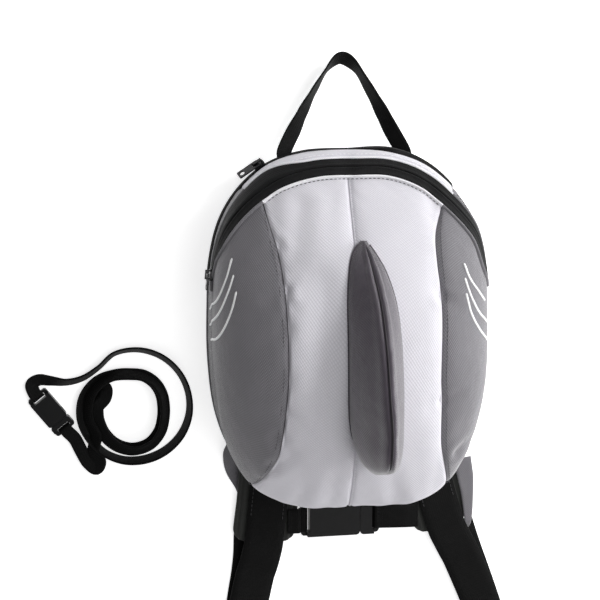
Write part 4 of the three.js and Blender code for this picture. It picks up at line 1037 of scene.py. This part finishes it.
def webbing_route(side):
    """The webbing runs down the pad, folds back past its end and returns on the floor to the corner tab."""
    length = strap_line(side).length()
    shifts = WEBBING_SHIFTS
    fold = WEBBING["fold"]
    low = WEBBING["thick"] / 2 + WEBBING["floor"]
    high = low + 2 * fold
    flat = PAD["length"] + WEBBING["past"]
    fold_at = length - fold
    run_in = 3 * fold
    outward = np.sign(STRAP_PATHS[side][0][0])
    rows = [(WEBBING["inset"], WEBBING_Z, 0)]
    rows += [(mix(WEBBING["inset"], flat, t), WEBBING_Z, 0) for t in even_steps(WEBBING_STEPS["down"])]
    rows += [
        (flat + WEBBING["drop"] * t, mix(WEBBING_Z, high, float(smooth(t))), shifts["dropped"] * t)
        for t in even_steps(WEBBING_STEPS["past"])
    ]
    rows += [(fold_at - run_in, high, shifts["folding"]), (fold_at, high, shifts["folding"])]
    for t in even_steps(WEBBING_STEPS["fold"]):
        shift = mix(shifts["folding"], shifts["folded"], t)
        rows.append((fold_at + fold * math.sin(math.pi * t), low + fold * (1 + math.cos(math.pi * t)), shift))
    end = PAD["length"] + WEBBING_END[side]
    for t in even_steps(WEBBING_STEPS["back"]):
        rows.append((mix(fold_at - run_in, end, t), low, mix(shifts["folded"], shifts["end"], t)))
    at, height, shift = (np.array(column, float) for column in zip(*rows))
    here, sides = strap_frame(side, at)
    points = here + sides * (shift * WEBBING["shift"] * outward * np.sign(sides[:, 0]))[:, None]
    points[:, 2] = height
    return Spline(points).even(np.linspace(0, 1, POINTS["webbing"]))


WEBBING_STITCHES = {"points": slice(8, 198), "away": 12.6, "size": (3.4, 2.4, 0.5)}


def add_webbing(side, looks):
    points = webbing_route(side)
    sides = level_sides(points)
    nodes = [f"shoulder_webbing_{side}"]
    band(f"webbing_{side}", points, sides, WEBBING["width"], WEBBING["thick"], looks["webbing"], nodes)
    row = WEBBING_STITCHES
    top = points[row["points"]] + UP * WEBBING["thick"] / 2
    for edge, sign in (("inner", 1), ("outer", -1)):
        line = top + sides[row["points"]] * (sign * row["away"])
        up = np.tile(UP, (len(line), 1))
        stitched(f"webbing_stitches_{side}_{edge}", line, up, looks["dark_thread"], *row["size"])


def add_tab(side, looks):
    rows = TAB_PATHS[side]
    share = np.linspace(0, 1, POINTS["tab"])
    points = Spline(plan_points(rows)).even(share)
    width = TAB["width"] * np.interp(share * (len(rows) - 1), np.arange(len(rows)), [row[3] for row in rows])
    sides = level_sides(points)
    band(f"tab_{side}", points, sides, width, TAB["thick"], looks["dark"], [f"corner_tab_{side}"])


def turned_about(axes, vector, degrees):
    """A vector, or one for each axis, turned about axes."""
    s, c = (part[:, None] for part in heading(degrees))
    along = np.sum(axes * vector, axis=-1, keepdims=True)
    return vector * c + np.cross(axes, vector) * s + axes * along * (1 - c)


def add_handle(looks):
    feet = [on_skin(turn, HANDLE["place"]) for turn in (HANDLE["left"], HANDLE["right"])]
    (start, start_out), (end, end_out) = feet
    lifts = (2 * GAP, HANDLE["stand"])
    rows = [(start + start_out * away, HANDLE["twist"]) for away in lifts]
    for along, out, height, twist in HANDLE_ROWS:
        place = mix(start, end, along)
        rows.append((np.array([place[0], place[1] + out * HANDLE["reach"], height]), twist))
    rows += [(end + end_out * away, HANDLE["twist"]) for away in reversed(lifts)]
    share = np.linspace(0, 1, POINTS["handle"])
    points = Spline([point for point, _ in rows]).even(share)
    at = share * (len(rows) - 1)
    i = np.minimum(at.astype(int), len(rows) - 2)
    twists = np.array([twist for _, twist in rows], float)
    twist = mix(twists[i], twists[i + 1], smooth(at - i))
    tangents = directions(points)
    sides = -unit(np.cross(turned_about(tangents, UP, twist), tangents))
    band("grab_handle", points, sides, HANDLE["width"], HANDLE["thick"], looks["webbing"], ["handle"])


def loop_entry(buckle, strap_thick, place, turn, end):
    """How a strap enters a buckle's loop, from outside it: over the end bar and down into the slot."""
    slot = strap_thick + ENTRY["slot_room"]
    bar = buckle["bar"]
    bar_top = place[2] + buckle["thick"] * (LOOP_SHARE - 0.5)
    over = bar_top + GAP + strap_thick / 2
    axis = end * np.array((math.cos(math.radians(turn)), math.sin(math.radians(turn))))
    steps = [
        (ENTRY["lead"], over + ENTRY["rise"]), (0, over + ENTRY["rise"] / 2), (-bar, over),
        (-bar - slot * ENTRY["bend"], over - slot * ENTRY["bend"]), (-bar - slot / 2, bar_top - strap_thick),
    ]
    return [(*(place[:2] + axis * (buckle["length"] / 2 + beyond)), height) for beyond, height in steps]


def webbing_at(side, y):
    """Where the shoulder webbing crosses a height, and its half width there over the chest strap's width."""
    line = strap_line(side).even(np.linspace(0, 1, POINTS["strap"]))
    i = int(np.argmax(line[:, 1] <= y))
    step = line[i + 1] - line[i - 1]
    lean = abs(step[0] / step[1])
    half = WEBBING["width"] / 2 * math.hypot(1, lean) + CHEST["width"] / 2 * lean
    return line[i, 0], half


CHEST_ON_PAD = (2 * GAP, 4, PAD["wing"])


def add_chest_strap(looks):
    y = CHEST["up"] * BAG["height"]
    centre = np.array((CHEST["across"] * HALF_WIDTH, y, CHEST_BUCKLE["thick"] / 2 + GAP))
    for side, sign in (("left", -1), ("right", 1)):
        x, half = webbing_at(side, y)
        on_pad = [(x - sign * (half + away), y, WEBBING_Z) for away in CHEST_ON_PAD]
        route = Spline(on_pad + loop_entry(CHEST_BUCKLE, CHEST["thick"], centre, 0, sign))
        points = route.even(np.linspace(0, 1, POINTS["chest"]))
        nodes = [f"chest_strap_{side}"]
        sides = level_sides(points)
        band(f"chest_{side}", points, sides, CHEST["width"], CHEST["thick"], looks["webbing"], nodes)


# The rein
def lane_radius(lane, angle):
    right, top, left, bottom = COIL_LANES[lane]
    sideways = np.where(np.cos(angle) > 0, right, left)
    upright = np.where(np.sin(angle) > 0, top, bottom)
    return sideways * np.cos(angle) ** 2 + upright * np.sin(angle) ** 2


def coil_turns(plan):
    """Points of a few turns of the rein round the coil's middle, which change their lane and layer once."""
    start, end = plan["turns"]
    turned = np.linspace(start, end, math.ceil(abs(end - start) / COIL_STEP) + 1)
    low, high = plan["change"]
    share = smooth((turned - low) / (high - low))
    angle = np.radians(turned)
    radius = mix(lane_radius(plan["lanes"][0], angle), lane_radius(plan["lanes"][1], angle), share)
    height = REIN["thick"] / 2 + REIN["floor"] + REIN["layer"] * mix(*plan["layers"], share)
    x = COIL_MIDDLE[0] + radius * np.cos(angle)
    y = COIL_MIDDLE[1] + radius * np.sin(angle)
    return list(zip(x, y, height))


# Shares of the rein's length and how far it stands up on edge there, in degrees
REIN_TWIST = [
    (0, 0), (0.02, 12), (0.05, 50), (0.09, 64), (0.14, 60), (0.2, 70), (0.27, 64), (0.32, 68), (0.38, 34),
    (0.43, 14), (0.5, 22), (0.57, 10), (0.62, 0), (0.66, 12), (0.74, 48), (0.8, 62), (0.86, 58), (0.9, 40),
    (0.94, 15), (0.97, 0), (1, 0),
]


def add_rein(looks):
    place = np.array((REIN_BUCKLE["x"], REIN_BUCKLE["y"], REIN_BUCKLE["thick"] / 2 + REIN["floor"]))
    leaving = loop_entry(REIN_BUCKLE, REIN["thick"], place, REIN_BUCKLE["turn"], -1)[::-1]
    arriving = loop_entry(REIN_BUCKLE, REIN["thick"], place, REIN_BUCKLE["turn"], 1)
    chosen = REIN_START + coil_turns(WINDING) + REIN_LOOP + coil_turns(UNWINDING) + REIN_END
    route = Spline(leaving + chosen + arriving)
    share = np.linspace(0, 1, POINTS["rein"])
    points = route.even(share)
    lean = np.interp(share, *zip(*REIN_TWIST))
    points[:, 2] += np.sin(np.radians(lean)) * REIN["width"] / 2 * REIN["on_edge"]
    sides = turned_about(directions(points), level_sides(points), lean)
    nodes = ["rein_coil", "rein_start", "rein_end"]
    rein = band("rein", points, sides, REIN["width"], REIN["thick"], looks["webbing"], nodes)


# Materials: the detail of the plain noises and of the finer ones
PLAIN = 2.0
FINE = 3.0


class Value:
    """A socket of a material that can be reckoned with."""

    def __init__(self, look, socket):
        self.look = look
        self.socket = socket

    def reckon(self, operation, *others):
        node = self.look.tree.nodes.new("ShaderNodeMath")
        node.operation = operation
        for socket, value in zip(node.inputs, (self, *others)):
            self.look.put(socket, value)
        return Value(self.look, node.outputs[0])

    def __add__(self, other):
        return self.reckon("ADD", other)

    def __sub__(self, other):
        return self.reckon("SUBTRACT", other)

    def __mul__(self, other):
        return self.reckon("MULTIPLY", other)

    def wave(self, pitch):
        """A round ridge from 0 to 1 at each pitch."""
        return (self * (math.pi / pitch)).reckon("SINE").reckon("ABSOLUTE")

    def within(self, low, high):
        """From 0 at low to 1 at high, and no further."""
        return ((self - low) * (1 / (high - low))).reckon("MAXIMUM", 0.0).reckon("MINIMUM", 1.0)


class Look:
    """A procedural material under construction."""

    def __init__(self, name, slot):
        self.material = bpy.data.materials.new(name)
        self.material.use_nodes = True
        self.tree = self.material.node_tree
        self.tree.nodes.clear()
        self.slot = slot

    def put(self, socket, value):
        if isinstance(value, Value):
            self.tree.links.new(value.socket, socket)
        else:
            socket.default_value = value

    def node(self, kind, output, inputs, **settings):
        node = self.tree.nodes.new(kind)
        for name, value in settings.items():
            setattr(node, name, value)
        for name, value in inputs.items():
            self.put(node.inputs[name], value)
        return Value(self, node.outputs[output])

    def cloth(self):
        """The places on the cloth, and those across and along it."""
        where = self.node("ShaderNodeUVMap", 0, {}, uv_map=UV_LAYER)
        across, along = (self.node("ShaderNodeSeparateXYZ", axis, {"Vector": where}) for axis in (0, 1))
        return where, across, along

    def noise(self, where, pitch, detail=PLAIN):
        return self.node("ShaderNodeTexNoise", 0, {"Vector": where, "Scale": 1 / pitch, "Detail": detail})

    def mixed(self, share, low, high):
        return self.node("ShaderNodeMix", 2, {0: share, 6: low, 7: high}, data_type="RGBA")

    def bump(self, height, distance, under=None):
        inputs = {"Height": height, "Distance": distance, "Strength": 1.0}
        if under is not None:
            inputs["Normal"] = under
        return self.node("ShaderNodeBump", 0, inputs)

    def finish(self, **inputs):
        names = {
            "colour": "Base Color", "rough": "Roughness", "metal": "Metallic", "normal": "Normal",
            "gloss": "Specular IOR Level", "sheen": "Sheen Weight", "sheen_rough": "Sheen Roughness",
            "coat": "Coat Weight", "coat_rough": "Coat Roughness", "glow": "Emission Strength",
            "glow_colour": "Emission Color",
        }
        named = {names[key]: value for key, value in inputs.items()}
        shader = self.node("ShaderNodeBsdfPrincipled", 0, named)
        output = self.tree.nodes.new("ShaderNodeOutputMaterial")
        self.tree.links.new(shader.socket, output.inputs["Surface"])
        return {"material": self.material, "slot": self.slot}


def shade(red, green, blue):
    """A colour as a photograph has it, from 0 to 255, as light."""
    parts = np.array((red, green, blue)) / 255
    light = np.where(parts <= 0.04045, parts / 12.92, ((parts + 0.055) / 1.055) ** 2.4)
    return (*light.tolist(), 1.0)


def scaled(colour, share):
    return (*[min(1.0, part * share) for part in colour[:3]], 1.0)


# The twill's pitches in metres, the slants of its ribs and threads, and its wandering in pitches
TWILL = {
    "pitch": 0.0013, "thread": 0.00144, "depth": 0.0002, "fibre": 0.0007, "cloud": 0.03, "wander": 0.02,
    "wander_by": 1.2, "rib_slant": 0.8, "thread_slant": 0.7, "sheen_rough": 0.45, "rougher": 0.1,
}
# How its parts count in its tone, which paints ribs and crossings lighter as highlight and valleys darker as
# shade, and in its relief
TWILL_TONE = {"crossing": 0.6, "rib": 0.25, "fibre": 0.3, "lit": 1.06, "low": 0.88, "high": 0.97}
TWILL_CLOUD = {"within": (0.3, 0.7), "share": 0.5}
TWILL_RELIEF = {"rib": 0.8, "thread": 0.3, "fibre": 0.25}
UNEVEN = {"pitch": 0.012, "depth": 0.0007}


def twill(name, slot, colour, painted_weave_shade=0.8, rough=0.85, sheen=0.25, gloss=0.25):
    """A woven cloth with diagonal ribs, crossed by its threads, faintly uneven in tone, with painted
    highlight on its ribs and painted shade in the valleys between them.
    """
    look = Look(name, slot)
    where, u, v = look.cloth()
    wander = look.noise(where, TWILL["wander"]) * (TWILL["pitch"] * TWILL["wander_by"])
    rib = (u + v * TWILL["rib_slant"] + wander).wave(TWILL["pitch"])
    thread = (u * TWILL["thread_slant"] - v + wander).wave(TWILL["thread"])
    fibre = look.noise(where, TWILL["fibre"], FINE)
    cloud = look.noise(where, TWILL["cloud"], FINE)
    tone, raised = TWILL_TONE, TWILL_RELIEF
    # Painted light: the ribs and their crossings are painted lighter, as highlight, and the valleys between
    # them darker, as shade
    painted_weave_light = rib * thread * tone["crossing"] + rib * tone["rib"] + fibre * tone["fibre"]
    lit = look.mixed(painted_weave_light, scaled(colour, painted_weave_shade), scaled(colour, tone["lit"]))
    painted_rib_shade = look.mixed(rib, scaled(colour, tone["low"]), scaled(colour, tone["high"]))
    toned = look.mixed(cloud.within(*TWILL_CLOUD["within"]) * TWILL_CLOUD["share"], lit, painted_rib_shade)
    height = rib * raised["rib"] + thread * raised["thread"] + fibre * raised["fibre"]
    normal = look.bump(height, TWILL["depth"])
    normal = look.bump(look.noise(where, UNEVEN["pitch"], FINE), UNEVEN["depth"], normal)
    roughness = cloud * TWILL["rougher"] + (rough - TWILL["rougher"] / 2)
    return look.finish(
        colour=toned, rough=roughness, normal=normal, gloss=gloss, sheen=sheen,
        sheen_rough=TWILL["sheen_rough"],
    )


# A strap's pitches in metres, then how its ribs, rows and fibres count in its weave, tone and relief; the
# tone paints ribs lighter as highlight and grooves darker as shade
STRAP = {
    "fibre": 0.0006, "cloud": 0.025, "depth": 0.0003, "shift": 0.5, "ribs": 0.6, "rows": 0.4,
    "tone": (0.7, 0.3), "dark": 0.5, "lit": 1.5, "fibre_relief": 0.2, "rougher": 0.15, "smoother": 0.07,
}


def woven_strap(name, slot, colour, rib=0.0014, yarn=0.0017, rough=0.62):
    """Webbing with ribs across it and rows of yarn along it, painted lighter on its ribs as highlight and
    darker between them as shade.
    """
    look = Look(name, slot)
    where, u, v = look.cloth()
    row = u.wave(yarn)
    ribs = (v + row * (rib * STRAP["shift"])).wave(rib)
    fibre = look.noise(where, STRAP["fibre"], FINE)
    cloud = look.noise(where, STRAP["cloud"])
    weave = ribs * STRAP["ribs"] + row * STRAP["rows"]
    woven, fuzz = STRAP["tone"]
    tone = weave * woven + fibre * fuzz
    # Painted light: the weave's ribs are painted lighter, as highlight, and its grooves darker, as shade
    colours = look.mixed(tone, scaled(colour, STRAP["dark"]), scaled(colour, STRAP["lit"]))
    normal = look.bump(weave + fibre * STRAP["fibre_relief"], STRAP["depth"])
    roughness = cloud * STRAP["rougher"] + (rough - STRAP["smoother"])
    return look.finish(
        colour=colours, rough=roughness, normal=normal, gloss=0.12, sheen=0.02, sheen_rough=0.4,
    )


THREAD = {"pitch": 0.0008, "depth": 0.0001, "dark": 0.85}


def thread(name, slot, colour, rough=0.5):
    """Twisted thread, painted darker where its strands lie low, as shade."""
    look = Look(name, slot)
    strands = look.noise(look.node("ShaderNodeTexCoord", 3, {}), THREAD["pitch"], FINE)
    # Painted shade: the colour darkens where the strands lie low in the bump
    colours = look.mixed(strands, scaled(colour, THREAD["dark"]), colour)
    normal = look.bump(strands, THREAD["depth"])
    return look.finish(colour=colours, rough=rough, normal=normal, gloss=0.4, sheen=0.1)


SATIN = {
    "pitch": 0.0007, "wander": 0.003, "wander_by": 0.0003, "slant": 0.25, "depth": 0.00012, "dark": 0.9,
}


def satin(name, slot, colour):
    """Satin stitches laid side by side, painted darker where the strands lie low, as shade."""
    look = Look(name, slot)
    where, u, v = look.cloth()
    wander = look.noise(where, SATIN["wander"]) * SATIN["wander_by"]
    strands = (v + u * SATIN["slant"] + wander).wave(SATIN["pitch"])
    # Painted shade: the colour darkens where the strands lie low in the bump
    colours = look.mixed(strands, scaled(colour, SATIN["dark"]), colour)
    normal = look.bump(strands, SATIN["depth"])
    return look.finish(colour=colours, rough=0.45, normal=normal, gloss=0.4, sheen=0.1)


MOULDED = {
    "grain": 0.0006, "depth": 0.00004, "rubbed": 0.009, "pale_within": (0.35, 0.75), "pale": 1.7,
    "smooth_within": (0.3, 0.8), "smoother": 0.12,
}


def moulded(name, slot, colour, rough, metal, coat):
    """Moulded or coated parts with a fine grain, rubbed a little smoother in places."""
    look = Look(name, slot)
    where = look.node("ShaderNodeTexCoord", 3, {})
    grain = look.noise(where, MOULDED["grain"], FINE)
    rubbed = look.noise(where, MOULDED["rubbed"], FINE)
    colours = look.mixed(rubbed.within(*MOULDED["pale_within"]), colour, scaled(colour, MOULDED["pale"]))
    roughness = rubbed.within(*MOULDED["smooth_within"]) * -MOULDED["smoother"] + rough
    normal = look.bump(grain, MOULDED["depth"])
    return look.finish(
        colour=colours, rough=roughness, metal=metal, normal=normal, gloss=0.22, coat=coat, coat_rough=0.25,
    )


# The floor is a lit sweep, so that it stays pale beside the bag
FLOOR = {"glow": 0.64, "reach": 3.0, "cloud": 0.3}


def floor_look():
    look = Look("floor", "")
    soft = look.noise(look.node("ShaderNodeTexCoord", 3, {}), FLOOR["cloud"])
    colours = look.mixed(soft, shade(250, 250, 250), shade(253, 253, 253))
    white = shade(255, 255, 255)
    return look.finish(colour=colours, rough=0.9, gloss=0.1, glow_colour=white, glow=FLOOR["glow"])


def make_looks():
    return {
        "light": twill("light_cloth", "light_fabric", shade(220, 218, 225)),
        "dark": twill(
            "dark_cloth", "dark_fabric", shade(124, 122, 127), painted_weave_shade=0.36, rough=0.62, sheen=0.5,
            gloss=0.35,
        ),
        "fin": twill(
            "fin_cloth", "fin_fabric", shade(62, 52, 66), painted_weave_shade=0.3, rough=0.44, sheen=0.6, gloss=0.6,
        ),
        "pad": twill("pad_cloth", "pad_fabric", shade(50, 51, 49), painted_weave_shade=0.55, rough=0.8, sheen=0.2),
        "tape": woven_strap(
            "zip_tape", "black_webbing", shade(19, 19, 20), rib=0.0011, yarn=0.0011, rough=0.6,
        ),
        "webbing": woven_strap("webbing", "black_webbing", shade(8, 8, 8)),
        "satin": satin("satin_lines", "light_fabric", shade(250, 250, 251)),
        "white_thread": thread("white_thread", "light_fabric", shade(244, 243, 246)),
        # The light cloth painted brighter, as a highlight on the folded lips along the zip's top
        "painted_highlight_lip": twill("lip_cloth_painted_highlight", "light_fabric", shade(240, 239, 243), painted_weave_shade=0.92),
        "dark_thread": thread("dark_thread", "dark_fabric", shade(58, 57, 60)),
        "seam_thread": thread("seam_thread", "fin_fabric", shade(34, 30, 36), rough=0.8),
        "plastic": moulded("plastic", "black_plastic", shade(9, 9, 10), rough=0.42, metal=0.0, coat=0.05),
        "metal": moulded("coated_metal", "black_metal", shade(22, 22, 24), rough=0.32, metal=0.4, coat=0.3),
    }


HARD_NODES = {
    "plastic": ["chest_buckle_female", "chest_buckle_male", "rein_buckle_female", "rein_buckle_male"],
    "metal": ["main_slider", "main_pull", "rear_slider", "rear_pull"],
}
BEVEL = {"plastic": 0.00055, "metal": 0.00025}
BEVEL_SEGMENTS = 2
BEVEL_FROM = 40


def dress_hard_parts(looks):
    """The moulded parts keep the solids' shape, with rounded edges and their own finish."""
    for kind, names in HARD_NODES.items():
        for name in names:
            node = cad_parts[name]
            node.data.materials.clear()
            node.data.materials.append(looks[kind]["material"])
            bevel = node.modifiers.new("rounded", "BEVEL")
            bevel.width = BEVEL[kind]
            bevel.segments = BEVEL_SEGMENTS
            bevel.limit_method = "ANGLE"
            bevel.angle_limit = math.radians(BEVEL_FROM)


# The stage
def add_camera():
    lean = math.tan(math.radians(CAMERA["lean"]))
    back = Vector((-lean, lean, 1)).normalized()
    right = Vector((0, 1, 0)).cross(back).normalized()
    up = back.cross(right)
    aim = Vector(to_row(np.array(CAMERA["aim"])))
    camera = new_object("camera", bpy.data.cameras.new("camera"))
    turned = Matrix((right, up, back)).transposed().to_4x4()
    camera.matrix_world = Matrix.Translation(aim + back * CAMERA["distance"] * MILLIMETRE) @ turned
    camera.data.lens = CAMERA["lens"]
    camera.data.sensor_width = CAMERA["sensor"]
    camera.data.clip_start = CAMERA["near"]
    bpy.context.scene.camera = camera


def add_floor():
    mesh = bpy.data.meshes.new("floor")
    corners = [(x * FLOOR["reach"], y * FLOOR["reach"], 0) for x, y in ((-1, -1), (1, -1), (1, 1), (-1, 1))]
    mesh.from_pydata(corners, [], [(0, 1, 2, 3)])
    mesh.materials.append(floor_look()["material"])
    new_object("floor", mesh)


# Lights: place in metres, size, power in watts
LIGHTS = {
    "key": ((1.15, 0.85, 0.95), 0.55, 15),
    "rim": ((1.5, 0.3, 0.3), 0.5, 15),
    "fill": ((0.5, -1.1, 1.0), 1.2, 6),
    "top": ((0.45, 0.35, 1.7), 1.4, 10.5),
}
SKY = 0.2


def add_lights():
    for name, (place, size, power) in LIGHTS.items():
        light = bpy.data.lights.new(name, "AREA")
        light.size = size
        light.energy = power
        lamp = new_object(name, light)
        lamp.location = place
        lamp.rotation_euler = (-Vector(place)).to_track_quat("-Z", "Y").to_euler()
    world = bpy.data.worlds.new("studio")
    world.use_nodes = True
    world.node_tree.nodes["Background"].inputs["Color"].default_value = (1, 1, 1, 1)
    world.node_tree.nodes["Background"].inputs["Strength"].default_value = SKY
    bpy.context.scene.world = world
    bpy.context.scene.view_settings.view_transform = "Standard"


add_camera()
looks = make_looks()
add_rein(looks)
add_front(looks)
add_centre_seam(looks)
add_sides(looks)
add_gussets(looks)
add_zips(looks)
add_lips(looks)
add_back(looks)
add_fin(looks)
add_gills(looks)
add_stitches(looks)
add_handle(looks)
for side in ("left", "right"):
    add_pad(side, looks)
    add_webbing(side, looks)
    add_tab(side, looks)
add_chest_strap(looks)
dress_hard_parts(looks)
add_floor()
add_lights()
